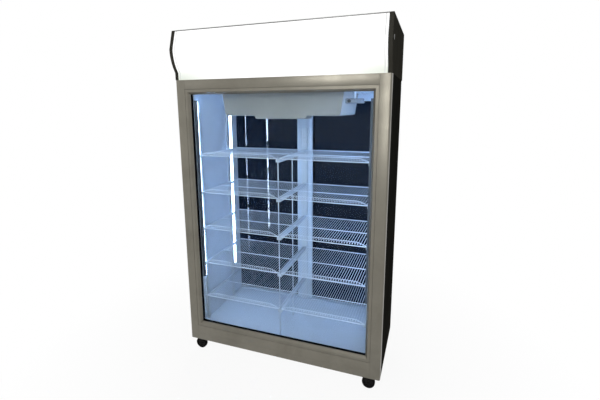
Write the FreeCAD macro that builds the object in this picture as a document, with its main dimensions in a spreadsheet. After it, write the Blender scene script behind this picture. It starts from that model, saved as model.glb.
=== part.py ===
import FreeCAD, Part
import math
import os

import Sketcher
from FreeCAD import Placement, Rotation, Vector

# Upright glass display freezer with a lit header, two wire-shelf banks,
# two hinged glass doors at the rear and four swivel castors.
# Millimetres. X to the viewer's right, Y from front to rear, Z up.
# The origin is on the floor, under the middle of the outer box.

os.makedirs("parts", exist_ok=True)
doc = FreeCAD.newDocument("display_freezer")
sheet = doc.addObject("Spreadsheet::Sheet", "dims")

DIMENSIONS = {
    # outer envelope
    "overall_width": 1250,
    "body_depth": 604,
    "castor_height": 104,
    "frame_height": 1678,
    "header_height": 276,
    # front frame
    "stile_width": 59,
    "stile_depth": 42,
    "stile_corner": 10,
    "extrusion_wall": 2.5,
    "rail_top_height": 54,
    "rail_bottom_height": 99,
    "bead_width": 29,
    "bead_land": 17,
    "bead_recess": 1,
    "glass_setback": 18,
    "pane_thickness": 4,
    "pane_gap": 16,
    "pane_edge_clearance": 4,
    "spacer_width": 12,
    # cabinet shell
    "skin": 2,
    "panel_flange": 56,
    "wall_thickness": 88,
    "floor_thickness": 118,
    "roof_thickness": 76,
    "pan_rim": 30,
    "rear_frame_depth": 20,
    "sill_rise": 12,
    "head_height": 122,
    "mullion_width": 108,
    # rear doors
    "gasket_depth": 10,
    "gasket_width": 14,
    "gasket_inset": 13,
    "gasket_clearance": 0.3,
    "door_thickness": 37,
    "door_border": 50,
    "door_gap": 6,
    "door_side_inset": 3,
    "door_sill_offset": 77,
    "door_head_offset": 43,
    "door_rebate": 10,
    "door_glass_thickness": 20,
    "hinge_inset": 15,
    "hinge_pin_radius": 5,
    "hinge_pin_length": 16,
    "hinge_clearance": 0.1,
    "hinge_plate": 5,
    "hinge_plate_width": 36,
    "hinge_flange_height": 34,
    "hinge_lift": 1,
    "handle_reach": 40,
    "handle_bar": 15,
    "handle_width": 18,
    "handle_length": 320,
    "handle_height": 960,
    "handle_edge_offset": 25,
    # lit header
    "cap_width": 21,
    "cap_wall": 3,
    "sign_bulge": 40,
    "sign_top_lean": 8,
    "sign_knee_drop": 108,
    "sign_foot": 41,
    "sign_arc_radius": 226,
    "sign_thickness": 4,
    "sign_gap": 2,
    "tray_depth": 50,
    "tray_skin": 1.5,
    "lamp_radius": 13,
    "lamp_end_gap": 32,
    "lamp_setback": 24,
    "lamp_low": 82,
    "lamp_high": 196,
    "lid_lip": 6,
    "grille_slot_margin": 85.5,
    "grille_slot_height": 9,
    "grille_slot_pitch": 24,
    "grille_slot_rows": 8,
    "grille_slot_base": 54,
    # light switch
    "switch_setback": 34,
    "switch_drop": 105,
    "switch_length": 40,
    "switch_height": 26,
    "switch_clearance": 0.5,
    "switch_depth": 14,
    "switch_dish": 2,
    # shelving
    "shelf_pitch": 233.5,
    "shelf_base_height": 295,
    "shelf_front_gap": 10,
    "shelf_centre_gap": 12,
    "shelf_wall_gap": 2,
    "cross_wire": 6,
    "grid_wire": 3,
    "grid_pitch": 16,
    "lip_height": 20,
    "lip_return": 36,
    "mid_wire_share": 0.475,
    "rail_width": 10,
    "rail_rear_gap": 27.7,
    "rail_height": 14,
    "bar_width": 8,
    "bar_height": 18,
    "post_radius": 4,
    "post_clearance": 0.3,
    "post_rise": 12,
    "upright_width": 25,
    "upright_depth": 10,
    "upright_wall": 2,
    "upright_top_gap": 84,
    "upright_front_setback": 28,
    "upright_rear_inset": 131,
    "slot_width": 5,
    "slot_height": 14,
    "slot_pitch": 116.75,
    "centre_channel_width": 40,
    "centre_channel_depth": 9,
    "centre_channel_top_gap": 180,
    # cabinet lights
    "led_front_width": 14,
    "led_rear_width": 22,
    "led_depth": 5,
    "led_front_setback": 4,
    "led_rear_inset": 81,
    "led_front_base": 431,
    "led_rear_base": 357,
    "led_top_gap": 42,
    # air cooler in the cabin
    "cover_side_gap": 167,
    "cover_taper": 18,
    "cover_height": 132,
    "cover_corner": 12,
    "cover_lip_width": 310,
    "cover_lip_drop": 17,
    "cover_lip_depth": 98,
    "cover_front_setback": 53,
    "cover_rear_gap": 37,
    "cover_wall": 3,
    "fan_coil_gap": 2,
    "fan_radius": 90,
    "fan_hub_radius": 22,
    "fan_hub_length": 16,
    "fan_chord": 34,
    "fan_pitch_angle": 28,
    "fan_blade": 2,
    "fan_tip_clearance": 5,
    "shaft_radius": 4,
    "shaft_clearance": 0.08,
    "motor_radius": 32,
    "motor_length": 45,
    "coil_end_gap": 122,
    "coil_depth": 130,
    "coil_height": 84,
    "coil_fin_pitch": 23,
    "coil_fin_gap": 9,
    "coil_fin_depth": 4,
    "coil_plate": 3,
    "thermostat_width": 98,
    "thermostat_height": 26,
    "thermostat_depth": 30,
    "thermostat_drop": 40,
    "thermostat_gap": 6,
    "thermostat_stem": 12,
    # machine compartment
    "compressor_radius": 88,
    "compressor_height": 182,
    "compressor_side_inset": 225,
    "compressor_rear_inset": 242,
    "compressor_foot": 3,
    "condenser_length": 345,
    "condenser_depth": 66,
    "condenser_height": 220,
    "condenser_side_inset": 385,
    "condenser_rear_gap": 34,
    "shroud_depth": 26,
    "electric_box_width": 150,
    "electric_box_depth": 90,
    "electric_box_height": 120,
    "electric_box_side_inset": 145,
    "gland_radius": 12,
    "pipe_radius": 5,
    "pipe_clearance": 1.5,
    "pipe_standoff": 37,
    # castors
    "castor_side_inset": 55,
    "castor_front_setback": 60,
    "castor_rear_setback": 90,
    "castor_plate": 80,
    "castor_plate_thickness": 4,
    "castor_race_radius": 24,
    "castor_race_height": 8,
    "kingpin_radius": 6,
    "kingpin_head": 10,
    "kingpin_head_height": 3,
    "swivel_clearance": 0.3,
    "fork_crown": 4,
    "fork_leg": 4,
    "fork_gap": 31,
    "fork_leg_width": 30,
    "fork_tip_radius": 12,
    "castor_trail": 16,
    "wheel_radius": 38,
    "wheel_width": 25,
    "tread_depth": 9,
    "wheel_hub_radius": 10,
    "axle_radius": 4,
    "axle_clearance": 0.08,
    "axle_head": 7,
}

for row, (alias, value) in enumerate(DIMENSIONS.items(), start=1):
    sheet.set(f"A{row}", alias)
    sheet.set(f"B{row}", str(value))
    sheet.setAlias(f"B{row}", alias)
doc.recompute()


class Dim:
    def __getattr__(self, name):
        if name not in DIMENSIONS:
            raise AttributeError(name)
        return f"dims.{name}"


d = Dim()
NODES = {}
CUTS = []


def num(expression):
    return float(sheet.evalExpression(expression))


def neg(expression):
    return f"(-1 * ({expression}))"


# Datum planes of the cabinet, all derived from the sheet.
half_width = f"({d.overall_width} / 2)"
front = f"(-{d.body_depth} / 2)"
back = f"({d.body_depth} / 2)"
frame_base = d.castor_height
frame_top = f"({d.castor_height} + {d.frame_height})"
top = f"({frame_top} + {d.header_height})"
groove_x = f"({half_width} - {d.stile_width})"
sight_x = f"({groove_x} - {d.bead_width})"
groove_low = f"({frame_base} + {d.rail_bottom_height})"
groove_high = f"({frame_top} - {d.rail_top_height})"
sight_low = f"({groove_low} + {d.bead_width})"
sight_high = f"({groove_high} - {d.bead_width})"
cabin_x = f"({half_width} - {d.wall_thickness})"
skin_x = f"({half_width} - {d.skin})"
floor_z = f"({frame_base} + {d.floor_thickness})"
ceiling_z = f"({frame_top} - {d.roof_thickness})"
cabin_front = f"({front} + {d.stile_depth})"
door_face = f"({back} - {d.door_thickness})"
carcass_rear = f"({door_face} - {d.gasket_depth})"
cabin_rear = f"({carcass_rear} - {d.rear_frame_depth})"
opening_low = f"({floor_z} + {d.sill_rise})"
opening_high = f"({frame_top} - {d.head_height})"
glass_front = f"({front} + {d.glass_setback})"

# Places that the cabin, the air cooler and the machine compartment share.
half_top = f"({cabin_x} - {d.cover_side_gap})"
half_bottom = f"({half_top} - {d.cover_taper})"
coil_half = f"({half_bottom} - {d.coil_end_gap})"
pipe_x = f"({coil_half} + {d.coil_plate} + {d.pipe_standoff})"
compressor_x = f"({half_width} - {d.compressor_side_inset})"
compressor_y = f"({back} - {d.compressor_rear_inset})"
condenser_x = f"({d.condenser_side_inset} - {half_width})"
electric_box_x = f"({half_width} - {d.electric_box_side_inset})"
castor_x = f"({half_width} - {d.castor_side_inset})"


def register(item, label):
    item.Label = label
    NODES[label] = item
    return item


def new_body(name):
    return doc.addObject("PartDesign::Body", name)


def origin_feature(body, role):
    return next(f for f in body.Origin.OriginFeatures if f.Role == role)


def rectangle(x0, y0, x1, y1):
    return [(x0, y0), (x1, y0), (x1, y1), (x0, y1)]


def arc_between(start, end, radius):
    """Arc of the given signed radius; positive bulges to the left of start-end."""
    chord = end - start
    half = chord.Length / 2
    normal = Vector(-chord.y, chord.x, 0).normalize()
    size = abs(radius)
    sagitta = size - math.sqrt(size * size - half * half)
    middle = (start + end) * 0.5 + normal * math.copysign(sagitta, radius)
    first, last = (end, start) if radius > 0 else (start, end)
    return Part.Arc(first, middle, last)


def pin_point(sketch, geo, pos, x, y):
    for kind, expression, axis in (("DistanceX", x, -2), ("DistanceY", y, -1)):
        if abs(num(expression)) < 1e-9:
            sketch.addConstraint(Sketcher.Constraint("PointOnObject", geo, pos, axis))
            continue
        index = sketch.addConstraint(Sketcher.Constraint(kind, -1, 1, geo, pos, num(expression)))
        sketch.setExpression(f"Constraints[{index}]", expression)


def draw_loop(sketch, loop):
    """A closed loop of (x, y) or (x, y, radius); the radius bends the edge that leaves the point."""
    points = [Vector(num(p[0]), num(p[1]), 0) for p in loop]
    count = len(loop)
    first = sketch.GeometryCount
    for i, point in enumerate(loop):
        start, end = points[i], points[(i + 1) % count]
        if len(point) == 3:
            edge = arc_between(start, end, num(point[2]))
            index = sketch.addGeometry(edge)
            sketch.addConstraint(Sketcher.Constraint("Radius", index, abs(num(point[2]))))
            size = point[2] if num(point[2]) > 0 else neg(point[2])
            sketch.setExpression(f"Constraints[{sketch.ConstraintCount - 1}]", size)
        else:
            sketch.addGeometry(Part.LineSegment(start, end))
    ends = []
    for i in range(count):
        geometry = sketch.Geometry[first + i]
        swapped = (geometry.StartPoint - points[i]).Length > 1e-6
        ends.append((2, 1) if swapped else (1, 2))
    for i in range(count):
        following = (i + 1) % count
        sketch.addConstraint(
            Sketcher.Constraint("Coincident", first + i, ends[i][1], first + following, ends[following][0])
        )
        pin_point(sketch, first + i, ends[i][0], loop[i][0], loop[i][1])


def draw_circle(sketch, circle):
    x, y, radius = circle
    geometry = Part.Circle(Vector(num(x), num(y), 0), Vector(0, 0, 1), num(radius))
    index = sketch.addGeometry(geometry)
    constraint = sketch.addConstraint(Sketcher.Constraint("Radius", index, num(radius)))
    sketch.setExpression(f"Constraints[{constraint}]", radius)
    pin_point(sketch, index, 3, x, y)


PLANES = {"z": "XY_Plane", "x": "YZ_Plane", "y": "XZ_Plane"}


def new_sketch(body, axis, start, loops=(), circles=()):
    sketch = body.newObject("Sketcher::SketchObject", "sketch")
    sketch.AttachmentSupport = (origin_feature(body, PLANES[axis]), [""])
    sketch.MapMode = "FlatFace"
    sketch.setExpression("AttachmentOffset.Base.z", neg(start) if axis == "y" else start)
    for loop in loops:
        draw_loop(sketch, loop)
    for circle in circles:
        draw_circle(sketch, circle)
    return sketch


def add_pad(body, axis, start, length, loops=(), circles=()):
    """Adds material from start towards the positive axis."""
    pad = body.newObject("PartDesign::Pad", "pad")
    pad.Profile = new_sketch(body, axis, start, loops, circles)
    pad.setExpression("Length", length)
    pad.Reversed = axis == "y"
    body.Tip = pad
    return pad


def add_pocket(body, axis, start, length, loops=(), circles=()):
    """Removes material from start towards the positive axis."""
    pocket = body.newObject("PartDesign::Pocket", "pocket")
    pocket.Profile = new_sketch(body, axis, start, loops, circles)
    pocket.setExpression("Length", length)
    pocket.Reversed = axis != "y"
    body.Tip = pocket
    CUTS.append(pocket)
    return pocket


def add_row(body, feature, role, length, count):
    row = body.newObject("PartDesign::LinearPattern", "row")
    row.Originals = [feature]
    row.Direction = (origin_feature(body, role), [""])
    row.setExpression("Length", length)
    row.setExpression("Occurrences", count)
    body.Tip = row
    return row


def add_ring(body, feature, role, count):
    ring = body.newObject("PartDesign::PolarPattern", "ring")
    ring.Originals = [feature]
    ring.Axis = (origin_feature(body, role), [""])
    ring.Angle = 360
    ring.Occurrences = count
    body.Tip = ring
    return ring


def prism(name, axis, start, length, loops=(), circles=()):
    body = new_body(name)
    add_pad(body, axis, start, length, loops, circles)
    return body


def place(item, x="0", y="0", z="0"):
    item.setExpression("Placement.Base.x", x)
    item.setExpression("Placement.Base.y", y)
    item.setExpression("Placement.Base.z", z)


def block(name, x0, y0, z0, x1, y1, z1):
    box = doc.addObject("Part::Box", name)
    box.setExpression("Length", f"{x1} - ({x0})")
    box.setExpression("Width", f"{y1} - ({y0})")
    box.setExpression("Height", f"{z1} - ({z0})")
    place(box, x0, y0, z0)
    return box


def group(label, items):
    compound = doc.addObject("Part::Compound", label)
    compound.Links = items
    return register(compound, label)


def mirrored(item, normal):
    mirror = doc.addObject("Part::Mirroring", "mirror")
    mirror.Source = item
    mirror.Base = Vector(0, 0, 0)
    mirror.Normal = normal
    return mirror


def side_points(side, points):
    """Profile points measured from the centre line, on the right (1) or left (-1)."""
    if side > 0:
        return points
    flipped = []
    for point in points:
        rest = (neg(point[2]),) if len(point) == 3 else ()
        flipped.append((neg(point[0]), point[1]) + rest)
    return flipped


# ---------------------------------------------------------------- front frame
wall = d.extrusion_wall
for side, label in ((-1, "front_stile_left"), (1, "front_stile_right")):
    outer = [
        (groove_x, front),
        (f"{half_width} - {d.stile_corner}", front, neg(d.stile_corner)),
        (half_width, f"{front} + {d.stile_corner}"),
        (half_width, cabin_front),
        (groove_x, cabin_front),
    ]
    inner = [
        (f"{groove_x} + {wall}", f"{front} + {wall}"),
        (f"{half_width} - {d.stile_corner}", f"{front} + {wall}"),
        (f"{half_width} - {wall}", f"{front} + {d.stile_corner}"),
        (f"{half_width} - {wall}", f"{cabin_front} - {wall}"),
        (f"{groove_x} + {wall}", f"{cabin_front} - {wall}"),
    ]
    loops = [side_points(side, outer), side_points(side, inner)]
    register(prism(label, "z", frame_base, d.frame_height, loops), label)

for label, low, high in (
    ("front_rail_top", groove_high, frame_top),
    ("front_rail_bottom", frame_base, groove_low),
):
    outer = rectangle(front, low, cabin_front, high)
    inner = rectangle(
        f"{front} + {wall}", f"{low} + {wall}", f"{cabin_front} - {wall}", f"{high} - {wall}"
    )
    register(prism(label, "x", neg(groove_x), f"2 * {groove_x}", [outer, inner]), label)


def bead_strip(corner_start, corner_end, across, length_axis):
    """One glazing bead: its section is lofted between two mitred ends."""
    land, width = num(d.bead_land), num(d.bead_width)
    recess, depth = num(d.bead_recess), num(d.glass_setback)
    section = [(recess, recess), (land, recess), (width, depth - 2 * recess), (width, depth), (recess, depth)]
    wires = []
    for corner, sense in ((corner_start, 1), (corner_end, -1)):
        points = [
            corner + across * u + length_axis * (sense * u) + Vector(0, v, 0)
            for u, v in section
        ]
        wires.append(Part.makePolygon(points + points[:1]))
    return Part.makeLoft(wires, True, True)


gx, gl, gh, gy = num(groove_x), num(groove_low), num(groove_high), num(front)
corners = [Vector(-gx, gy, gl), Vector(gx, gy, gl), Vector(gx, gy, gh), Vector(-gx, gy, gh)]
inward = [Vector(0, 0, 1), Vector(-1, 0, 0), Vector(0, 0, -1), Vector(1, 0, 0)]
strips = []
for i in range(4):
    start, end = corners[i], corners[(i + 1) % 4]
    strips.append(bead_strip(start, end, inward[i], (end - start).normalize()))
beads = doc.addObject("Part::Feature", "glazing_beads")
beads.Shape = Part.makeCompound(strips)
beads.Placement = Placement()
register(beads, "glazing_beads")

# --------------------------------------------------------------- front glazing
pane_x = f"({groove_x} - {d.pane_edge_clearance})"
pane_low = f"({groove_low} + {d.pane_edge_clearance})"
pane_high = f"({groove_high} - {d.pane_edge_clearance})"
spacer_front = f"({glass_front} + {d.pane_thickness})"
inner_pane_front = f"({spacer_front} + {d.pane_gap})"
panes = []
for start in (glass_front, inner_pane_front):
    end = f"{start} + {d.pane_thickness}"
    panes.append(block("pane", neg(pane_x), start, pane_low, pane_x, end, pane_high))

spacer_loops = [
    rectangle(
        f"-{sight_x} - {d.spacer_width}",
        f"{sight_low} - {d.spacer_width}",
        f"{sight_x} + {d.spacer_width}",
        f"{sight_high} + {d.spacer_width}",
    ),
    rectangle(neg(sight_x), sight_low, sight_x, sight_high),
]
spacer = prism("spacer", "y", spacer_front, d.pane_gap, spacer_loops)
group("front_glass", panes + [spacer])

# -------------------------------------------------------------- cabinet shell
inside_front = f"({cabin_front} + {d.skin})"
for side, label in ((-1, "side_panel_left"), (1, "side_panel_right")):
    sheet_profile = [
        (f"{half_width} - {d.panel_flange}", cabin_front),
        (half_width, cabin_front),
        (half_width, carcass_rear),
        (skin_x, carcass_rear),
        (skin_x, inside_front),
        (f"{half_width} - {d.panel_flange}", inside_front),
    ]
    profile = side_points(side, sheet_profile)
    register(prism(label, "z", frame_base, d.frame_height, [profile]), label)

liner_low = f"({floor_z} - {d.skin})"
liner_high = f"({ceiling_z} + {d.skin})"
liner_x = f"({cabin_x} + {d.skin})"
pipe_hole = (pipe_x, compressor_y, f"{d.pipe_radius} + {d.pipe_clearance}")
liner = prism(
    "inner_liner",
    "y",
    cabin_front,
    f"{cabin_rear} - {cabin_front}",
    [
        rectangle(neg(liner_x), liner_low, liner_x, liner_high),
        rectangle(neg(cabin_x), floor_z, cabin_x, ceiling_z),
    ],
)
add_pocket(liner, "z", f"{ceiling_z} - 1", f"{d.skin} + 2", circles=[pipe_hole])
register(liner, "inner_liner")

foam_x = f"({skin_x} - {d.skin})"
foam_roof = prism(
    "foam_roof",
    "z",
    liner_high,
    f"{frame_top} - {d.skin} - {liner_high}",
    [rectangle(neg(skin_x), inside_front, skin_x, cabin_rear)],
    [pipe_hole],
)
foam_floor = block(
    "foam_floor", neg(foam_x), f"{inside_front} + {d.skin}", f"{frame_base} + {d.skin}",
    foam_x, f"{cabin_rear} - {d.skin}", liner_low,
)
foam_right = block("foam_right", liner_x, inside_front, liner_low, skin_x, cabin_rear, liner_high)
group("insulation", [foam_roof, foam_floor, foam_right, mirrored(foam_right, Vector(1, 0, 0))])

pan = prism(
    "base_pan", "z", frame_base, d.pan_rim, [rectangle(neg(skin_x), inside_front, skin_x, cabin_rear)]
)
add_pocket(
    pan,
    "z",
    f"{frame_base} + {d.skin}",
    d.pan_rim,
    [rectangle(neg(foam_x), f"{inside_front} + {d.skin}", foam_x, f"{cabin_rear} - {d.skin}")],
)
register(pan, "base_pan")

deck = prism(
    "top_deck",
    "z",
    f"{frame_top} - {d.skin}",
    d.skin,
    [rectangle(neg(skin_x), inside_front, skin_x, carcass_rear)],
    [pipe_hole],
)
register(deck, "top_deck")

half_mullion = f"({d.mullion_width} / 2)"
rear_loops = {
    "sill": rectangle(neg(skin_x), frame_base, skin_x, opening_low),
    "head": rectangle(neg(skin_x), opening_high, skin_x, f"{frame_top} - {d.skin}"),
    "mullion": rectangle(neg(half_mullion), opening_low, half_mullion, opening_high),
    "jamb": rectangle(cabin_x, opening_low, skin_x, opening_high),
}
lengths = [prism(name, "y", cabin_rear, d.rear_frame_depth, [loop]) for name, loop in rear_loops.items()]
group("rear_frame", lengths + [mirrored(lengths[-1], Vector(1, 0, 0))])

# ------------------------------------------------------------------ rear doors
door_low = f"({frame_base} + {d.door_sill_offset})"
door_high = f"({frame_top} - {d.door_head_offset})"
door_near = f"({d.door_gap} / 2)"
door_far = f"({half_width} - {d.door_side_inset})"
hinge_x = f"({half_width} - {d.hinge_inset})"
hinge_y = f"({back} - {d.hinge_inset} + {d.door_side_inset})"
border = d.door_border
glass_y = f"({door_face} + {d.hinge_lift})"


def inset_rectangle(side, inset):
    near, far = f"{door_near} + ({inset})", f"{door_far} - ({inset})"
    return side_points(side, rectangle(near, f"{door_low} + ({inset})", far, f"{door_high} - ({inset})"))


for side, word in ((-1, "left"), (1, "right")):
    frame = prism(
        f"door_{word}_frame", "y", door_face, d.door_thickness,
        [inset_rectangle(side, "0"), inset_rectangle(side, border)],
    )
    rebate = f"{d.door_glass_thickness} + {d.hinge_lift}"
    add_pocket(frame, "y", door_face, rebate, [inset_rectangle(side, f"{border} - {d.door_rebate}")])
    bore = f"{d.hinge_pin_radius} + {d.hinge_clearance}"
    bore_x = hinge_x if side > 0 else neg(hinge_x)
    bore_depth = f"{d.hinge_pin_length} + {d.hinge_lift}"
    add_pocket(frame, "z", door_low, bore_depth, circles=[(bore_x, hinge_y, bore)])
    add_pocket(frame, "z", f"{door_high} - ({bore_depth})", bore_depth, circles=[(bore_x, hinge_y, bore)])
    register(frame, f"door_{word}_frame")

    pane_inset = f"{border} - {d.door_rebate} + {d.hinge_lift}"
    pane = prism(f"door_{word}_glass", "y", glass_y, d.door_glass_thickness, [inset_rectangle(side, pane_inset)])
    register(pane, f"door_{word}_glass")

    gasket_end = f"{d.gasket_inset} + {d.gasket_width}"
    gasket = prism(
        f"door_{word}_gasket",
        "y",
        f"{carcass_rear} + {d.gasket_clearance}",
        f"{d.gasket_depth} - {d.gasket_clearance}",
        [inset_rectangle(side, d.gasket_inset), inset_rectangle(side, gasket_end)],
    )
    register(gasket, f"door_{word}_gasket")

    grip_low = f"({d.handle_height} - {d.handle_length} / 2)"
    grip_high = f"({d.handle_height} + {d.handle_length} / 2)"
    reach = f"({back} + {d.handle_reach})"
    bar_y = f"({reach} - {d.handle_bar})"
    grip = [
        (back, grip_low),
        (bar_y, grip_low),
        (reach, f"{grip_low} + {d.handle_bar}"),
        (reach, f"{grip_high} - {d.handle_bar}"),
        (bar_y, grip_high),
        (back, grip_high),
        (back, f"{grip_high} - {d.handle_bar}"),
        (bar_y, f"{grip_high} - 2 * {d.handle_bar}"),
        (bar_y, f"{grip_low} + 2 * {d.handle_bar}"),
        (back, f"{grip_low} + {d.handle_bar}"),
    ]
    grip_x = f"({door_near} + {d.handle_edge_offset} - {d.handle_width} / 2)"
    grip_start = grip_x if side > 0 else neg(f"{grip_x} + {d.handle_width}")
    register(prism(f"door_{word}_handle", "x", grip_start, d.handle_width, [grip]), f"door_{word}_handle")

# Each hinge is an angle plate on the rear frame with an upright pin in the door.
plate_top = f"({door_low} - {d.hinge_lift})"
plate_low = f"({plate_top} - {d.hinge_plate})"
plate_x = f"({door_far} - {d.hinge_plate_width})"
hinge = prism(
    "hinge_low", "z", plate_low, d.hinge_plate,
    [rectangle(plate_x, carcass_rear, door_far, f"{back} - {d.door_side_inset}")],
)
add_pad(
    hinge, "z", f"{plate_top} - {d.hinge_flange_height}", d.hinge_flange_height,
    [rectangle(plate_x, carcass_rear, door_far, f"{carcass_rear} + {d.hinge_plate}")],
)
add_pad(
    hinge, "z", plate_low, f"{d.hinge_plate} + {d.hinge_pin_length}",
    circles=[(hinge_x, hinge_y, d.hinge_pin_radius)],
)
cap_low = f"({door_high} + {d.hinge_lift})"
hinge_high = prism(
    "hinge_high", "z", cap_low, d.hinge_plate,
    [rectangle(plate_x, carcass_rear, door_far, f"{back} - {d.door_side_inset}")],
)
add_pad(
    hinge_high, "z", cap_low, d.hinge_flange_height,
    [rectangle(plate_x, carcass_rear, door_far, f"{carcass_rear} + {d.hinge_plate}")],
)
add_pad(
    hinge_high, "z", f"{cap_low} - {d.hinge_pin_length}", f"{d.hinge_plate} + {d.hinge_pin_length}",
    circles=[(hinge_x, hinge_y, d.hinge_pin_radius)],
)
group(
    "door_hinges",
    [hinge, hinge_high, mirrored(hinge, Vector(1, 0, 0)), mirrored(hinge_high, Vector(1, 0, 0))],
)

# ---------------------------------------------------------------- lit header
knee = (f"{front} - {d.sign_bulge}", f"{top} - {d.sign_knee_drop}", neg(d.sign_arc_radius))
cap_profile = [
    (f"{front} - {d.sign_top_lean}", top),
    knee,
    (front, f"{frame_top} + {d.sign_foot}"),
    (front, frame_top),
    (back, frame_top),
    (back, top),
]
cap_inner = [
    (f"{front} + {d.cap_wall}", f"{top} - {d.cap_wall}"),
    (f"{front} - {d.sign_bulge} + 3 * {d.cap_wall}", f"{top} - {d.sign_knee_drop}"),
    (f"{front} + 2 * {d.cap_wall}", f"{frame_top} + {d.sign_foot}"),
    (f"{front} + 2 * {d.cap_wall}", f"{frame_top} + {d.cap_wall}"),
    (f"{back} - {d.cap_wall}", f"{frame_top} + {d.cap_wall}"),
    (f"{back} - {d.cap_wall}", f"{top} - {d.cap_wall}"),
]
cap_face = f"({half_width} - {d.cap_width})"
hollow = f"({d.cap_width} - {d.cap_wall})"
switch_y = f"({front} + {d.switch_setback})"
switch_z = f"({top} - {d.switch_drop})"

cap = prism("header_cap_left", "x", neg(half_width), d.cap_width, [cap_profile])
add_pocket(cap, "x", f"-{half_width} + {d.cap_wall}", hollow, [cap_inner])
register(cap, "header_cap_left")

cap = prism("header_cap_right", "x", cap_face, d.cap_width, [cap_profile])
add_pocket(cap, "x", cap_face, hollow, [cap_inner])
switch_hole = rectangle(
    f"{switch_y} - {d.switch_length} / 2",
    f"{switch_z} - {d.switch_height} / 2",
    f"{switch_y} + {d.switch_length} / 2",
    f"{switch_z} + {d.switch_height} / 2",
)
add_pocket(cap, "x", f"{half_width} - {d.cap_wall}", d.cap_wall, [switch_hole])
register(cap, "header_cap_right")

rocker_half = f"({d.switch_length} / 2 - {d.switch_clearance} - {d.switch_dish})"
rocker_face = f"({half_width} - {d.switch_clearance})"
rocker = [
    (f"{rocker_face} - {d.switch_depth}", f"{switch_y} - {rocker_half} / 2"),
    (f"{rocker_face} - {d.switch_dish}", f"{switch_y} - {rocker_half}"),
    (rocker_face, f"{switch_y} - {rocker_half}"),
    (f"{rocker_face} - {d.switch_dish}", switch_y),
    (rocker_face, f"{switch_y} + {rocker_half}"),
    (f"{rocker_face} - {d.switch_dish}", f"{switch_y} + {rocker_half}"),
    (f"{rocker_face} - {d.switch_depth}", f"{switch_y} + {rocker_half} / 2"),
]
rocker_low = f"({switch_z} - {d.switch_height} / 2 + {d.switch_clearance})"
rocker_height = f"({d.switch_height} - 2 * {d.switch_clearance})"
register(prism("header_switch", "z", rocker_low, rocker_height, [rocker]), "header_switch")

thick = d.sign_thickness
sign_top = f"({top} - {d.lid_lip})"
sign_profile = [
    (f"{front} - {d.sign_top_lean}", sign_top),
    knee,
    (front, f"{frame_top} + {d.sign_foot}"),
    (front, frame_top),
    (f"{front} + {thick}", frame_top),
    (f"{front} + {thick}", f"{frame_top} + {d.sign_foot}", f"{d.sign_arc_radius} - {thick}"),
    (f"{front} - {d.sign_bulge} + {thick}", f"{top} - {d.sign_knee_drop}"),
    (f"{front} - {d.sign_top_lean} + {thick}", sign_top),
]
sign_x = f"({cap_face} - {d.sign_gap})"
register(prism("sign_panel", "x", neg(sign_x), f"2 * {sign_x}", [sign_profile]), "sign_panel")

tray_low = frame_top
tray_high = f"({sign_top} - {d.skin})"
tray_back = f"({front} + {d.tray_depth})"
fold = d.tray_skin
tray_front = f"({front} + 2 * {thick})"
tray_profile = [
    (tray_front, tray_low),
    (tray_back, tray_low),
    (tray_back, tray_high),
    (tray_front, tray_high),
    (tray_front, f"{tray_high} - {fold}"),
    (f"{tray_back} - {fold}", f"{tray_high} - {fold}"),
    (f"{tray_back} - {fold}", f"{tray_low} + {fold}"),
    (tray_front, f"{tray_low} + {fold}"),
]
register(prism("sign_tray", "x", neg(sign_x), f"2 * {sign_x}", [tray_profile]), "sign_tray")

lamps = []
lamp_y = f"({front} + {d.lamp_setback})"
holder_x = f"({sign_x} - {d.lamp_end_gap})"
for height in (d.lamp_low, d.lamp_high):
    lamp_z = f"({frame_top} + {height})"
    lamp = prism("lamp", "x", neg(holder_x), f"2 * {holder_x}", circles=[(lamp_y, lamp_z, d.lamp_radius)])
    holder = rectangle(
        lamp_y, f"{lamp_z} - {d.lamp_radius}", f"{tray_back} - {fold}", f"{lamp_z} + {d.lamp_radius}"
    )
    for start in (neg(holder_x), f"{holder_x} - {d.lamp_radius}"):
        add_pad(lamp, "x", start, d.lamp_radius, [holder])
    lamps.append(lamp)
group("sign_lamps", lamps)

lid_x = f"({cap_face} - {d.switch_clearance})"
lid_profile = [
    (f"{front} - {d.sign_top_lean}", sign_top),
    (f"{front} - {d.sign_top_lean} + {d.skin}", sign_top),
    (f"{front} - {d.sign_top_lean} + {d.skin}", f"{top} - {d.skin}"),
    (back, f"{top} - {d.skin}"),
    (back, top),
    (f"{front} - {d.sign_top_lean}", top),
]
register(prism("header_lid", "x", neg(lid_x), f"2 * {lid_x}", [lid_profile]), "header_lid")

grille = prism(
    "rear_grille",
    "y",
    f"{back} - {d.cap_wall}",
    d.cap_wall,
    [rectangle(neg(lid_x), frame_top, lid_x, f"{top} - {d.skin}")],
)
slot_low = f"({frame_top} + {d.grille_slot_base})"
slot_high = f"({slot_low} + {d.grille_slot_height})"
slot_inner = f"({d.grille_slot_height} * 2)"
slot_outer = f"({lid_x} - {d.grille_slot_margin})"
slots = add_pocket(
    grille, "y", f"{back} - {d.cap_wall}", d.cap_wall,
    [
        rectangle(neg(slot_outer), slot_low, neg(slot_inner), slot_high),
        rectangle(slot_inner, slot_low, slot_outer, slot_high),
    ],
)
add_row(
    grille, slots, "Z_Axis", f"{d.grille_slot_pitch} * ({d.grille_slot_rows} - 1)", d.grille_slot_rows
)
electric_z = f"({frame_top} + {d.grille_slot_base} / 2)"
gland_radius = f"{d.gland_radius} + {d.switch_clearance}"
add_pocket(
    grille, "y", f"{back} - {d.cap_wall}", d.cap_wall, circles=[(electric_box_x, electric_z, gland_radius)]
)
register(grille, "rear_grille")

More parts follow.
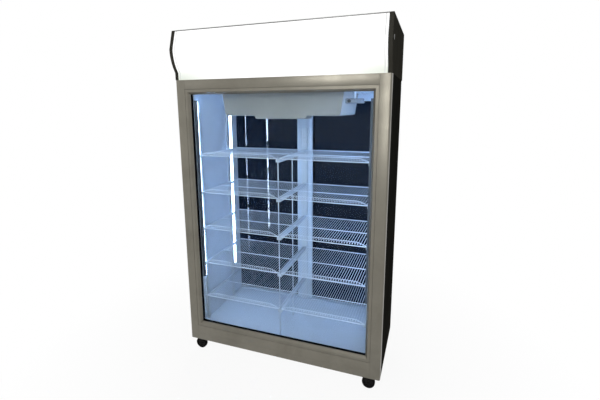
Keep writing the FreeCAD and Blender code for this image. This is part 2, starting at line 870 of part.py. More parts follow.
# --------------------------------------------------------- machine compartment
compressor = new_body("compressor")
shell_top = d.compressor_height
shoulder = f"({d.compressor_radius} * 0.5)"
revolution = compressor.newObject("PartDesign::Revolution", "shell")
revolution.Profile = new_sketch(
    compressor,
    "y",
    "0",
    [[
        ("0", d.compressor_foot),
        (shoulder, d.compressor_foot, neg(d.compressor_radius)),
        (d.compressor_radius, f"{d.compressor_foot} + {shoulder}"),
        (d.compressor_radius, f"{shell_top} - {shoulder}", neg(d.compressor_radius)),
        (shoulder, shell_top),
        ("0", shell_top),
    ]],
)
revolution.ReferenceAxis = (origin_feature(compressor, "Z_Axis"), [""])
revolution.Angle = 360
compressor.Tip = revolution
foot = f"({d.compressor_radius} * 1.15)"
add_pad(
    compressor, "z", "0", f"2 * {d.compressor_foot}",
    [rectangle(neg(foot), neg(f"{foot} * 0.7"), foot, f"{foot} * 0.7")],
)
place(compressor, compressor_x, compressor_y, frame_top)
register(compressor, "compressor")


def finned_core(name, length, depth, height):
    """A coil core between two end plates, with fin gaps cut into both broad faces."""
    core = prism(
        name, "z", "0", height,
        [rectangle(neg(f"{length} / 2"), neg(f"{depth} / 2 - {d.coil_plate}"), f"{length} / 2", f"{depth} / 2 - {d.coil_plate}")],
    )
    pitch = d.coil_fin_pitch
    start = f"(-{length} / 2 + {pitch} / 2)"
    inner_y = f"({depth} / 2 - {d.coil_plate} - {d.coil_fin_depth})"
    gap = add_pocket(
        core, "z", f"{d.coil_plate}", f"{height} - 2 * {d.coil_plate}",
        [
            rectangle(start, inner_y, f"{start} + {d.coil_fin_gap}", f"{depth} / 2"),
            rectangle(start, neg(f"{depth} / 2"), f"{start} + {d.coil_fin_gap}", neg(inner_y)),
        ],
    )
    count = f"floor(({length} - {pitch}) / {pitch})"
    add_row(core, gap, "X_Axis", f"({count} - 1) * {pitch}", count)
    for start in (neg(f"{length} / 2 + {d.coil_plate}"), f"{length} / 2"):
        add_pad(core, "x", start, d.coil_plate, [rectangle(neg(f"{depth} / 2"), "0", f"{depth} / 2", height)])
    return core


condenser = finned_core("condenser", d.condenser_length, d.condenser_depth, d.condenser_height)
condenser_y = f"({back} - {d.condenser_rear_gap} - {d.condenser_depth} / 2)"
place(condenser, condenser_x, condenser_y, frame_top)
register(condenser, "condenser")

# The shroud's own origin is on the fan axis, in the plane of the condenser's face.
# Its axis is local Z, turned to point to the rear by the placement.
shroud_half = f"({d.condenser_height} / 2)"
tip = f"({d.fan_radius} + {d.fan_tip_clearance})"
shroud = prism(
    "condenser_shroud",
    "z",
    f"-{d.skin}",
    d.skin,
    [rectangle(neg(f"{d.condenser_length} / 2"), neg(shroud_half), f"{d.condenser_length} / 2", shroud_half)],
    [("0", "0", tip)],
)
add_pad(
    shroud, "z", neg(d.shroud_depth), d.shroud_depth,
    circles=[("0", "0", f"{tip} + {d.skin}"), ("0", "0", tip)],
)
arm = f"({d.motor_radius} / 3)"
arm_face = f"({d.shroud_depth} + {d.cap_wall})"
shaft_hole = ("0", "0", f"{d.shaft_radius} + {d.shaft_clearance}")
add_pad(
    shroud, "z", neg(arm_face), d.cap_wall,
    [rectangle(neg(arm), neg(f"{tip} + {d.skin}"), arm, f"{tip} + {d.skin}")],
    [shaft_hole],
)
condenser_motor = prism(
    "condenser_motor", "z", neg(f"{arm_face} + {d.motor_length}"), d.motor_length,
    circles=[("0", "0", d.motor_radius)],
)
shaft_end = f"({d.shroud_depth} / 2 - {d.fan_hub_length} / 2)"
add_pad(
    condenser_motor, "z", neg(arm_face), f"{arm_face} - {shaft_end}", circles=[("0", "0", d.shaft_radius)]
)
condenser_face = f"({condenser_y} - {d.condenser_depth} / 2)"
fan_z = f"({frame_top} + {shroud_half})"
turned = Rotation(Vector(1, 0, 0), -90)
for item in (shroud, condenser_motor):
    item.Placement = Placement(Vector(), turned)
    place(item, condenser_x, condenser_face, fan_z)
register(shroud, "condenser_shroud")
register(condenser_motor, "condenser_motor")


def fan_wheel(name):
    """Five pitched blades on a bored hub; its axis is local Z, centred on the blades."""
    fan = prism(
        name, "z", neg(f"{d.fan_hub_length} / 2"), d.fan_hub_length,
        circles=[("0", "0", d.fan_hub_radius), ("0", "0", f"{d.shaft_radius} + {d.shaft_clearance}")],
    )
    rise = f"({d.fan_chord} / 2 * sin({d.fan_pitch_angle} * 1deg))"
    run = f"({d.fan_chord} / 2 * cos({d.fan_pitch_angle} * 1deg))"
    half = f"({d.fan_blade} / 2)"
    section = [
        (neg(run), f"-{rise} / 1 - {half}"),
        (run, f"{rise} - {half}"),
        (run, f"{rise} + {half}"),
        (neg(run), f"-{rise} / 1 + {half}"),
    ]
    root = f"({d.fan_hub_radius} * 0.6)"
    blade = add_pad(fan, "x", root, f"{d.fan_radius} - {root}", [section])
    add_ring(fan, blade, "Z_Axis", 5)
    return fan


fan = fan_wheel("condenser_fan")
fan.Placement = Placement(Vector(), turned)
place(fan, condenser_x, f"{condenser_face} - {d.shroud_depth} / 2", fan_z)
register(fan, "condenser_fan")

electric = prism(
    "electrical_box",
    "y",
    f"{back} - 2 * {d.cap_wall} - {d.electric_box_depth}",
    d.electric_box_depth,
    [rectangle(
        f"{electric_box_x} - {d.electric_box_width} / 2", frame_top,
        f"{electric_box_x} + {d.electric_box_width} / 2", f"{frame_top} + {d.electric_box_height}",
    )],
)
add_pad(
    electric, "y", f"{back} - 3 * {d.cap_wall}", f"3 * {d.cap_wall}",
    circles=[(electric_box_x, electric_z, d.gland_radius), (electric_box_x, electric_z, f"{d.gland_radius} / 2")],
)
register(electric, "electrical_box")


def bent_tube(points, radius):
    """A round tube along straight runs joined by arcs of three diameters."""
    bend = 3 * radius
    edges = []
    start = points[0]
    for i in range(1, len(points) - 1):
        before = (points[i] - points[i - 1]).normalize()
        after = (points[i + 1] - points[i]).normalize()
        turn = before.getAngle(after)
        reach = bend * math.tan(turn / 2)
        enter, leave = points[i] - before * reach, points[i] + after * reach
        inward = (after - before).normalize()
        middle = points[i] + inward * (bend / math.cos(turn / 2) - bend)
        edges.append(Part.LineSegment(start, enter).toShape())
        edges.append(Part.Arc(enter, middle, leave).toShape())
        start = leave
    edges.append(Part.LineSegment(start, points[-1]).toShape())
    spine = Part.Wire(edges)
    first = (points[1] - points[0]).normalize()
    ring = Part.Wire([Part.makeCircle(radius, points[0], first)])
    return spine.makePipeShell([ring], True, True)


pipe_r = num(d.pipe_radius)
deck_z = num(frame_top)
comp = Vector(num(compressor_x), num(compressor_y), deck_z)
comp_r, comp_h = num(d.compressor_radius), num(d.compressor_height)
coil_end = num(coil_half) + num(d.coil_plate)
riser_x = num(pipe_x)
coil_z = num(ceiling_z) - num(d.coil_height) / 2
port = comp_h * 0.6
suction = bent_tube(
    [
        Vector(coil_end, comp.y, coil_z),
        Vector(riser_x, comp.y, coil_z),
        Vector(riser_x, comp.y, deck_z + port),
        Vector(comp.x - comp_r, comp.y, deck_z + port),
    ],
    pipe_r,
)
cond_end = num(condenser_x) + num(d.condenser_length) / 2 + num(d.coil_plate)
cond_y = num(condenser_y)
over = comp_h + 6 * pipe_r
discharge = bent_tube(
    [
        Vector(comp.x, comp.y, deck_z + comp_h),
        Vector(comp.x, comp.y, deck_z + over),
        Vector(comp.x, cond_y, deck_z + over),
        Vector(cond_end, cond_y, deck_z + over),
    ],
    pipe_r,
)
pipes = doc.addObject("Part::Feature", "pipework")
pipes.Shape = Part.makeCompound([suction, discharge])
pipes.Placement = Placement()
register(pipes, "pipework")

# ------------------------------------------------------------------ air cooler
cover_front = f"({cabin_front} + {d.cover_front_setback})"
cover_low = f"({ceiling_z} - {d.cover_height})"
cover_depth = f"({cabin_rear} - {d.cover_rear_gap} - {cover_front})"
lip_low = f"({cover_low} - {d.cover_lip_drop})"
half_lip = f"({d.cover_lip_width} / 2)"


def cover_outline(inset, roof):
    """The cover's section across the cabinet, tapered and with round lower corners."""
    side = f"({half_bottom} - {inset})"
    floor = f"({cover_low} + {inset})"
    corner = f"({d.cover_corner} - {inset})"
    return [
        (neg(f"{half_top} - {inset}"), roof),
        (neg(side), f"{floor} + {corner}", neg(corner)),
        (neg(f"{side} - {corner}"), floor),
        (f"{side} - {corner}", floor, neg(corner)),
        (side, f"{floor} + {corner}"),
        (f"{half_top} - {inset}", roof),
    ]


def lip_outline(inset, roof):
    """The lowered middle of the front, with slanted ends."""
    return [
        (neg(f"{half_lip} + {d.cover_lip_drop} / 2 - {inset}"), roof),
        (neg(f"{half_lip} - {inset}"), f"{lip_low} + {inset}"),
        (f"{half_lip} - {inset}", f"{lip_low} + {inset}"),
        (f"{half_lip} + {d.cover_lip_drop} / 2 - {inset}", roof),
    ]


cover = prism("evaporator_cover", "y", cover_front, cover_depth, [cover_outline("0", ceiling_z)])
add_pad(cover, "y", cover_front, d.cover_lip_depth, [lip_outline("0", f"{cover_low} + {d.cover_wall} / 2")])
inside = f"{cover_depth} - 2 * {d.cover_wall}"
cover_hollow = cover_outline(d.cover_wall, f"{ceiling_z} + 1")
add_pocket(cover, "y", f"{cover_front} + {d.cover_wall}", inside, [cover_hollow])
lip_hollow = lip_outline(d.cover_wall, f"{cover_low} + 2 * {d.cover_wall}")
add_pocket(
    cover, "y", f"{cover_front} + {d.cover_wall}", f"{d.cover_lip_depth} - 2 * {d.cover_wall}", [lip_hollow]
)
coil_y = f"({cover_front} + {cover_depth} - {d.cover_wall} - {d.coil_depth} / 2 - {d.coil_fin_pitch})"
fan_y = f"({coil_y} - {d.coil_depth} / 2 - {d.motor_radius} - {d.fan_coil_gap})"
intake = f"({d.fan_radius} + {d.fan_tip_clearance})"
add_pocket(cover, "z", cover_low, d.cover_wall, circles=[("0", fan_y, intake)])
bar = f"({d.cover_wall} * 1.5)"
for loop in (
    rectangle(neg(f"{intake} + 1"), f"{fan_y} - {bar}", f"{intake} + 1", f"{fan_y} + {bar}"),
    rectangle(neg(bar), f"{fan_y} - {intake} - 1", bar, f"{fan_y} + {intake} + 1"),
):
    add_pad(cover, "z", cover_low, d.cover_wall, [loop])
outlet_width = f"({half_bottom} / 7)"
outlet_start = f"(-{half_bottom} + {outlet_width})"
outlet_low = f"({cover_low} + {d.cover_height} / 3)"
outlet = add_pocket(
    cover, "y", f"{cover_front} + {cover_depth} - {d.cover_wall}", d.cover_wall,
    [rectangle(outlet_start, outlet_low, f"{outlet_start} + {outlet_width}", f"{outlet_low} + {d.cover_height} / 2")],
)
add_row(cover, outlet, "X_Axis", f"11 * {outlet_width}", "7")
register(cover, "evaporator_cover")

coil = finned_core("evaporator_coil", f"(2 * {coil_half})", d.coil_depth, d.coil_height)
place(coil, "0", coil_y, f"{ceiling_z} - {d.coil_height}")
register(coil, "evaporator_coil")

blades_z = f"({cover_low} + {d.cover_wall} + {d.fan_hub_length} / 2 + {d.fan_tip_clearance})"
motor_low = f"({blades_z} + {d.fan_hub_length} / 2 + {d.fan_tip_clearance})"
motor = prism("evaporator_motor", "z", motor_low, d.motor_length, circles=[("0", fan_y, d.motor_radius)])
add_pad(
    motor, "z", f"{blades_z} - {d.fan_hub_length} / 2", f"{motor_low} - {blades_z} + {d.fan_hub_length} / 2 + 1",
    circles=[("0", fan_y, d.shaft_radius)],
)
strap = f"({motor_low} + {d.motor_length})"
add_pad(
    motor, "z", f"{strap} - 1", f"{ceiling_z} - {strap} + 1",
    [rectangle(neg(d.motor_radius), f"{fan_y} - {bar}", d.motor_radius, f"{fan_y} + {bar}")],
)
register(motor, "evaporator_motor")

fan = fan_wheel("evaporator_fan")
place(fan, "0", fan_y, blades_z)
register(fan, "evaporator_fan")

thermo_x = f"({half_top} + {d.thermostat_gap})"
thermo_low = f"({ceiling_z} - {d.thermostat_drop} - {d.thermostat_height})"
thermo_mid = f"({thermo_x} + {d.thermostat_width} / 2)"
stem = f"({d.thermostat_stem} / 2)"
thermo = prism(
    "thermostat", "y", cover_front, d.thermostat_depth,
    [[
        (thermo_x, thermo_low),
        (f"{thermo_x} + {d.thermostat_width}", thermo_low),
        (f"{thermo_x} + {d.thermostat_width}", f"{thermo_low} + {d.thermostat_height}"),
        (f"{thermo_mid} + {stem}", f"{thermo_low} + {d.thermostat_height}"),
        (f"{thermo_mid} + {stem}", ceiling_z),
        (f"{thermo_mid} - {stem}", ceiling_z),
        (f"{thermo_mid} - {stem}", f"{thermo_low} + {d.thermostat_height}"),
        (thermo_x, f"{thermo_low} + {d.thermostat_height}"),
    ]],
)
register(thermo, "thermostat")

# --------------------------------------------------------------- shelf carriers
upright_face = f"({cabin_x} - {d.upright_depth})"
uprights = []
upright_height = f"({ceiling_z} - {d.upright_top_gap} - {floor_z})"
for y0 in (f"({cabin_front} + {d.upright_front_setback})", f"({cabin_rear} - {d.upright_rear_inset})"):
    y1 = f"({y0} + {d.upright_width})"
    gauge = d.upright_wall
    profile = [
        (cabin_x, y0),
        (cabin_x, f"{y0} + {gauge}"),
        (f"{upright_face} + {gauge}", f"{y0} + {gauge}"),
        (f"{upright_face} + {gauge}", f"{y1} - {gauge}"),
        (cabin_x, f"{y1} - {gauge}"),
        (cabin_x, y1),
        (upright_face, y1),
        (upright_face, y0),
    ]
    upright = prism("upright", "z", floor_z, upright_height, [profile])
    slot_y = f"({y0} + {d.upright_width} / 2)"
    slot = add_pocket(
        upright, "x", upright_face, gauge,
        [rectangle(
            f"{slot_y} - {d.slot_width} / 2", f"{floor_z} + {d.slot_pitch} / 2",
            f"{slot_y} + {d.slot_width} / 2", f"{floor_z} + {d.slot_pitch} / 2 + {d.slot_height}",
        )],
    )
    slot_count = f"floor({upright_height} / {d.slot_pitch})"
    add_row(upright, slot, "Z_Axis", f"({slot_count} - 1) * {d.slot_pitch}", slot_count)
    uprights += [upright, mirrored(upright, Vector(1, 0, 0))]

shelf_front = f"({cabin_front} + {d.shelf_front_gap})"
post_top = f"({frame_base} + {d.shelf_base_height} + 4 * {d.shelf_pitch} + {d.post_rise})"
channel_face = f"({cabin_rear} - {d.centre_channel_depth})"
shelf_rear = f"({channel_face} - {d.post_clearance})"
mid_y = f"({shelf_front} + {d.mid_wire_share} * ({shelf_rear} - {shelf_front}))"
post_offset = f"({d.post_radius} + {d.cross_wire} + {d.post_clearance})"
front_post_y = f"({shelf_front} + {d.post_radius})"
for post_y in (front_post_y, f"({mid_y} + {post_offset})"):
    uprights.append(
        prism("post", "z", floor_z, f"{post_top} - {floor_z}", circles=[("0", post_y, d.post_radius)])
    )
half_channel = f"({d.centre_channel_width} / 2)"
channel_profile = [
    (neg(half_channel), cabin_rear),
    (neg(half_channel), channel_face),
    (half_channel, channel_face),
    (half_channel, cabin_rear),
    (f"{half_channel} - {d.upright_wall}", cabin_rear),
    (f"{half_channel} - {d.upright_wall}", f"{channel_face} + {d.upright_wall}"),
    (neg(f"{half_channel} - {d.upright_wall}"), f"{channel_face} + {d.upright_wall}"),
    (neg(f"{half_channel} - {d.upright_wall}"), cabin_rear),
]
channel_height = f"({opening_high} - {d.centre_channel_top_gap} - {floor_z})"
uprights.append(prism("channel", "z", floor_z, channel_height, [channel_profile]))
group("shelf_uprights", uprights)

rail_end = f"({shelf_rear} - {d.rail_rear_gap})"
bar_near = f"({d.post_radius} + {d.post_clearance})"
supports = []
for level in range(5):
    seat = f"({frame_base} + {d.shelf_base_height} + {level} * {d.shelf_pitch} - {d.cross_wire} / 2)"
    rail = block(
        "rail", f"{upright_face} - {d.rail_width}", shelf_front, f"{seat} - {d.rail_height}",
        upright_face, rail_end, seat,
    )
    bar_item = block(
        "bar", bar_near, shelf_front, f"{seat} - {d.bar_height}",
        f"{bar_near} + {d.bar_width}", channel_face, seat,
    )
    supports += [rail, mirrored(rail, Vector(1, 0, 0)), bar_item, mirrored(bar_item, Vector(1, 0, 0))]
group("shelf_supports", supports)

# ---------------------------------------------------------------- wire shelves
# One bank is drawn once at height 0 and repeated, mirrored, at every level.
shelf_near = f"({d.shelf_centre_gap} / 2)"
shelf_far = f"({upright_face} - {d.shelf_wall_gap})"
thick_wire, thin_wire = d.cross_wire, d.grid_wire
behind_lip = f"({shelf_front} + {thin_wire})"
mid_end = f"({mid_y} + {thick_wire})"
rear_wire = f"({shelf_rear} - {thick_wire})"
front_end = f"({shelf_front} + {thick_wire})"
near_end = f"({shelf_near} + {thick_wire})"
far_start = f"({shelf_far} - {thick_wire})"
bank = [
    block("front_wire", shelf_near, shelf_front, "0", shelf_far, front_end, thick_wire),
    block("middle_wire", near_end, mid_y, "0", far_start, mid_end, thick_wire),
    block("rear_wire", shelf_near, rear_wire, "0", shelf_far, shelf_rear, thick_wire),
    block("inner_wire", shelf_near, front_end, "0", near_end, rear_wire, thick_wire),
    block("outer_wire", far_start, front_end, "0", shelf_far, rear_wire, thick_wire),
]
wire_count = int((num(shelf_far) - num(shelf_near) - num(thin_wire)) // num(d.grid_pitch)) + 1
grid_span = f"(({wire_count} - 1) * {d.grid_pitch} + {thin_wire})"
grid_start = f"(({shelf_near} + {shelf_far} - {grid_span}) / 2)"
for i in range(wire_count):
    x = f"({grid_start} + {i} * {d.grid_pitch})"
    bank.append(
        block("grid_wire", x, behind_lip, thick_wire, f"{x} + {thin_wire}", shelf_rear, f"{thick_wire} + {thin_wire}")
    )
right_bank = doc.addObject("Part::Compound", "bank")
right_bank.Links = bank
left_bank = mirrored(right_bank, Vector(1, 0, 0))

# The raised front rail slopes up from both corners and stands on turned-up grid wires.
lip_top = f"({thick_wire} + {d.lip_height})"
lip_under = f"({lip_top} - {thin_wire})"
shoulder_near = f"({shelf_near} + {d.lip_return})"
shoulder_far = f"({shelf_far} - {d.lip_return})"
lip = prism(
    "lip", "y", shelf_front, thin_wire,
    [[
        (shelf_near, thick_wire),
        (f"{shelf_near} + {thick_wire}", thick_wire),
        (f"{shoulder_near} + {thin_wire} / 2", lip_under),
        (f"{shoulder_far} - {thin_wire} / 2", lip_under),
        (f"{shelf_far} - {thick_wire}", thick_wire),
        (shelf_far, thick_wire),
        (shoulder_far, lip_top),
        (shoulder_near, lip_top),
    ]],
)
skipped = int(num(f"({d.lip_return} + {thick_wire})") // num(d.grid_pitch)) + 1
first_riser = f"({grid_start} + {skipped} * {d.grid_pitch})"
riser = add_pad(
    lip, "y", shelf_front, thin_wire,
    [rectangle(first_riser, thick_wire, f"{first_riser} + {thin_wire}", f"{lip_under} + {thin_wire} / 2")],
)
riser_count = wire_count - 2 * skipped
add_row(lip, riser, "X_Axis", f"({riser_count} - 1) * {d.grid_pitch}", str(riser_count))
left_lip = mirrored(lip, Vector(1, 0, 0))

lips = []
for level in range(5):
    seat = f"{frame_base} + {d.shelf_base_height} + {level} * {d.shelf_pitch} - {d.cross_wire} / 2"
    shelf = group(f"shelf_level_{5 - level}", [right_bank, left_bank])
    place(shelf, "0", "0", seat)
    pair = doc.addObject("Part::Compound", "lip_pair")
    pair.Links = [lip, left_lip]
    place(pair, "0", "0", seat)
    lips.append(pair)
group("shelf_lips", lips)

# -------------------------------------------------------------- cabinet lights
strips = []
led_face = f"({cabin_x} - {d.led_depth})"
led_front_y = f"({cabin_front} + {d.led_front_setback})"
led_rear_y = f"({cabin_rear} - {d.led_rear_inset})"
for y0, width, base in (
    (led_front_y, d.led_front_width, d.led_front_base),
    (led_rear_y, d.led_rear_width, d.led_rear_base),
):
    bevel = f"({d.led_depth} / 2)"
    profile = [
        (cabin_x, y0),
        (f"{led_face} + {bevel}", y0),
        (led_face, f"{y0} + {bevel}"),
        (led_face, f"{y0} + {width} - {bevel}"),
        (f"{led_face} + {bevel}", f"{y0} + {width}"),
        (cabin_x, f"{y0} + {width}"),
    ]
    led_low = f"({frame_base} + {base})"
    strip = prism("led", "z", led_low, f"{ceiling_z} - {d.led_top_gap} - {led_low}", [profile])
    strips += [strip, mirrored(strip, Vector(1, 0, 0))]
group("led_strips", strips)

# --------------------------------------------------------------------- castors
front_castor_y = f"({front} + {d.castor_front_setback})"
rear_castor_y = f"({back} - {d.castor_rear_setback})"
plate_z = f"({d.castor_height} - {d.castor_plate_thickness})"
race_z = f"({plate_z} - {d.castor_race_height})"
crown_top = f"({race_z} - {d.swivel_clearance})"
crown_low = f"({crown_top} - {d.fork_crown})"
head_top = f"({crown_low} - {d.swivel_clearance})"
head_low = f"({head_top} - {d.kingpin_head_height})"
half_plate = f"({d.castor_plate} / 2)"
CASTORS = {
    "front_left": (-1, front_castor_y),
    "front_right": (1, front_castor_y),
    "rear_left": (-1, rear_castor_y),
    "rear_right": (1, rear_castor_y),
}
plates = []
for key, (side, y) in CASTORS.items():
    plate = prism(
        "castor_plate", "z", plate_z, d.castor_plate_thickness,
        [rectangle(neg(half_plate), neg(half_plate), half_plate, half_plate)],
    )
    add_pad(plate, "z", race_z, d.castor_race_height, circles=[("0", "0", d.castor_race_radius)])
    add_pad(plate, "z", head_low, f"{race_z} - {head_low}", circles=[("0", "0", d.kingpin_radius)])
    add_pad(plate, "z", head_low, d.kingpin_head_height, circles=[("0", "0", d.kingpin_head)])
    place(plate, castor_x if side > 0 else neg(castor_x), y)
    plates.append(plate)
group("castor_plates", plates)

fork_half = f"({d.fork_gap} / 2)"
leg_outer = f"({fork_half} + {d.fork_leg})"
leg_tip = f"({d.fork_leg_width} / 3)"
leg_end = f"({d.castor_trail} + {leg_tip})"
for key, (side, y) in CASTORS.items():
    fork = prism(
        f"castor_fork_{key}", "z", crown_low, d.fork_crown,
        [rectangle(neg(d.castor_race_radius), neg(leg_outer), leg_end, leg_outer)],
        [("0", "0", f"{d.kingpin_radius} + {d.axle_clearance}")],
    )
    leg = [
        (neg(f"{d.castor_race_radius} * 0.6"), crown_low),
        (f"{d.castor_trail} - {leg_tip}", d.wheel_radius, neg(d.fork_tip_radius)),
        (leg_end, d.wheel_radius),
        (leg_end, crown_low),
    ]
    for start in (neg(leg_outer), fork_half):
        add_pad(fork, "y", start, d.fork_leg, [leg])
    add_pad(
        fork, "y", neg(f"{leg_outer} + {d.fork_leg}"), f"2 * ({leg_outer} + {d.fork_leg})",
        circles=[(d.castor_trail, d.wheel_radius, d.axle_radius)],
    )
    for start in (neg(f"{leg_outer} + {d.fork_leg}"), leg_outer):
        add_pad(fork, "y", start, d.fork_leg, circles=[(d.castor_trail, d.wheel_radius, d.axle_head)])
    x = castor_x if side > 0 else neg(castor_x)
    fork.Placement = Placement(Vector(), Rotation(Vector(0, 0, 1), 180))
    place(fork, x, y)
    register(fork, f"castor_fork_{key}")

    wheel = new_body(f"castor_wheel_{key}")
    half_wheel = f"({d.wheel_width} / 2)"
    rim = f"({d.wheel_radius} - {d.tread_depth})"
    turning = wheel.newObject("PartDesign::Revolution", "wheel")
    bore = f"({d.axle_radius} + {d.axle_clearance})"
    boss = f"({fork_half} - {d.swivel_clearance})"
    profile = [
        (bore, neg(boss)),
        (d.wheel_hub_radius, neg(boss)),
        (d.wheel_hub_radius, neg(f"{half_wheel} * 0.4")),
        (rim, neg(f"{half_wheel} * 0.4")),
        (rim, neg(half_wheel)),
        (f"{d.wheel_radius} - {d.tread_depth} / 3", neg(half_wheel)),
        (d.wheel_radius, neg(f"{half_wheel} * 0.6")),
        (d.wheel_radius, f"{half_wheel} * 0.6"),
        (f"{d.wheel_radius} - {d.tread_depth} / 3", half_wheel),
        (rim, half_wheel),
        (rim, f"{half_wheel} * 0.4"),
        (d.wheel_hub_radius, f"{half_wheel} * 0.4"),
        (d.wheel_hub_radius, boss),
        (bore, boss),
    ]
    turning.Profile = new_sketch(wheel, "z", "0", [profile])
    turning.ReferenceAxis = (origin_feature(wheel, "Y_Axis"), [""])
    turning.Angle = 360
    wheel.Tip = turning
    place(wheel, f"{x} - {d.castor_trail}", y, d.wheel_radius)
    register(wheel, f"castor_wheel_{key}")

# ------------------------------------------------------------- checks, export
doc.recompute()
faults = [
    f"{item.Label} {item.State}" for item in doc.Objects if "Invalid" in item.State or "Error" in item.State
]
for cut in CUTS:
    base = cut.BaseFeature.Shape
    if not cut.Shape.Volume < base.Volume - 1e-6:
        faults.append(f"{cut.Name} cuts nothing")
for label, item in NODES.items():
    if item.Shape.isNull() or not item.Shape.isValid():
        faults.append(f"{label} has no valid shape")
if faults:
    raise RuntimeError("; ".join(faults))
for label, item in NODES.items():
    item.Shape.exportStep(f"parts/{label}.step")
box = Part.makeCompound([item.Shape for item in NODES.values()]).BoundBox
print(len(NODES), "pieces;", "box", [round(v, 2) for v in (box.XMin, box.XMax, box.YMin, box.YMax, box.ZMin, box.ZMax)])
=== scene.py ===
import math

import bmesh
import bpy
from mathutils import Matrix, Vector


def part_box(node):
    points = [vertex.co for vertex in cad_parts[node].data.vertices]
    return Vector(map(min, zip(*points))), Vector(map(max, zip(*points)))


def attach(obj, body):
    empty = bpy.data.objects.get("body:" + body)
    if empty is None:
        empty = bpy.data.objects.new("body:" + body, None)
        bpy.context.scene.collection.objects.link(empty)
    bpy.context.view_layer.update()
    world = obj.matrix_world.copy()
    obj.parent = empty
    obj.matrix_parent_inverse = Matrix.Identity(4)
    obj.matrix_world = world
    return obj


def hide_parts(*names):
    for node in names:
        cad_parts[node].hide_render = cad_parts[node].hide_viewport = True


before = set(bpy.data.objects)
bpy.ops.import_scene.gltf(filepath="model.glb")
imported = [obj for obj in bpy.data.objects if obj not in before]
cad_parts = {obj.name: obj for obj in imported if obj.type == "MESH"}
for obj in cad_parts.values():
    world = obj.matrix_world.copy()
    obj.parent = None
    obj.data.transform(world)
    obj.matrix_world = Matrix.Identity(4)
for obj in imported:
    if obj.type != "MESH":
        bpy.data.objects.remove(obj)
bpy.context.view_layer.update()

scene = bpy.context.scene
print("frame loaded:", len(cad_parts), "nodes")


# node helpers
def addNode(tree, kind, values=None, **settings):
    node = tree.nodes.new(kind)
    for key, value in settings.items():
        setattr(node, key, value)
    for key, value in (values or {}).items():
        if isinstance(value, bpy.types.NodeSocket):
            tree.links.new(value, node.inputs[key])
        else:
            node.inputs[key].default_value = value
    return node


def combine(tree, operation, first, second):
    return addNode(tree, "ShaderNodeMath", {0: first, 1: second}, operation=operation).outputs[0]


def remap(tree, value, start=0.0, end=1.0, low=0.0, high=1.0):
    # start to end becomes low to high, and values beyond are held
    values = {"Value": value, "From Min": start, "From Max": end, "To Min": low, "To Max": high}
    return addNode(tree, "ShaderNodeMapRange", values).outputs["Result"]


def noiseMask(tree, place, scale, detail, roughness, distortion, start, end):
    noise = addNode(
        tree, "ShaderNodeTexNoise",
        {"Vector": place, "Scale": scale, "Detail": detail, "Roughness": roughness, "Distortion": distortion},
    )
    return remap(tree, noise.outputs["Fac"], start, end)


def newGroup(name, vectors, numbers, output):
    group = bpy.data.node_groups.new(name, "ShaderNodeTree")
    for labels, kind in ((vectors, "NodeSocketVector"), (numbers, "NodeSocketFloat")):
        for label in labels:
            group.interface.new_socket(name=label, in_out="INPUT", socket_type=kind)
    group.interface.new_socket(name=output, in_out="OUTPUT", socket_type="NodeSocketFloat")
    source = group.nodes.new("NodeGroupInput")
    target = group.nodes.new("NodeGroupOutput")
    return group, source.outputs, target.inputs[output]


wearPlan = dict(
    grain=dict(detail=4.0, roughness=0.6, distortion=0.0, start=0.32, end=0.68),
    smear=dict(detail=5.0, roughness=0.62, distortion=0.6, start=0.42, end=0.7),
    dust=dict(detail=6.0, roughness=0.7, distortion=0.0, start=0.38, end=0.62),
    scuff=dict(scale=38.0, detail=7.0, roughness=0.7, distortion=1.2, start=0.52, end=0.66),
    dustFacing=(0.55, 0.98), dustScale=60.0, dustTone=(0.42, 0.40, 0.36),
    scuffTop=0.5, scuffTone=(0.22, 0.20, 0.17), bumpDepth=0.0004, filmShade=0.97,
)

# fine drawn or sprayed grain, stretched along the working direction
grainGroup, grainIn, grainOut = newGroup("surfaceGrain", ("Place", "Stretch"), ("Scale",), "Grain")
stretched = addNode(
    grainGroup, "ShaderNodeVectorMath", {0: grainIn["Place"], 1: grainIn["Stretch"]}, operation="MULTIPLY"
)
grains = noiseMask(grainGroup, stretched.outputs[0], grainIn["Scale"], **wearPlan["grain"])
grainGroup.links.new(grains, grainOut)

# broad wiped smears and handling marks
smearGroup, smearIn, smearOut = newGroup("handlingSmears", ("Place",), ("Scale",), "Smear")
smears = noiseMask(smearGroup, smearIn["Place"], smearIn["Scale"], **wearPlan["smear"])
smearGroup.links.new(smears, smearOut)

# dust that settles on faces that look up
dustGroup, dustIn, dustOut = newGroup("settledDust", ("Place",), ("Scale", "Amount"), "Dust")
dustNormal = addNode(dustGroup, "ShaderNodeNewGeometry")
dustUp = addNode(dustGroup, "ShaderNodeSeparateXYZ", {0: dustNormal.outputs["Normal"]})
dustFacing = remap(dustGroup, dustUp.outputs["Z"], *wearPlan["dustFacing"])
dustSpots = noiseMask(dustGroup, dustIn["Place"], dustIn["Scale"], **wearPlan["dust"])
dustLayer = combine(dustGroup, "MULTIPLY", dustFacing, dustSpots)
dustGroup.links.new(combine(dustGroup, "MULTIPLY", dustLayer, dustIn["Amount"]), dustOut)

# scuffs that thicken towards the floor
scuffGroup, scuffIn, scuffOut = newGroup("floorScuffs", ("Place",), ("Top", "Amount"), "Scuff")
scuffHeight = addNode(scuffGroup, "ShaderNodeSeparateXYZ", {0: scuffIn["Place"]})
scuffFade = remap(scuffGroup, scuffHeight.outputs["Z"], scuffIn["Top"], 0.0)
scuffMarks = noiseMask(scuffGroup, scuffIn["Place"], **wearPlan["scuff"])
scuffLayer = combine(scuffGroup, "MULTIPLY", scuffFade, scuffMarks)
scuffGroup.links.new(combine(scuffGroup, "MULTIPLY", scuffLayer, scuffIn["Amount"]), scuffOut)

looks = {}


def rgba(colour):
    return (*colour, 1.0)


def grey(level):
    return (level, level, level)


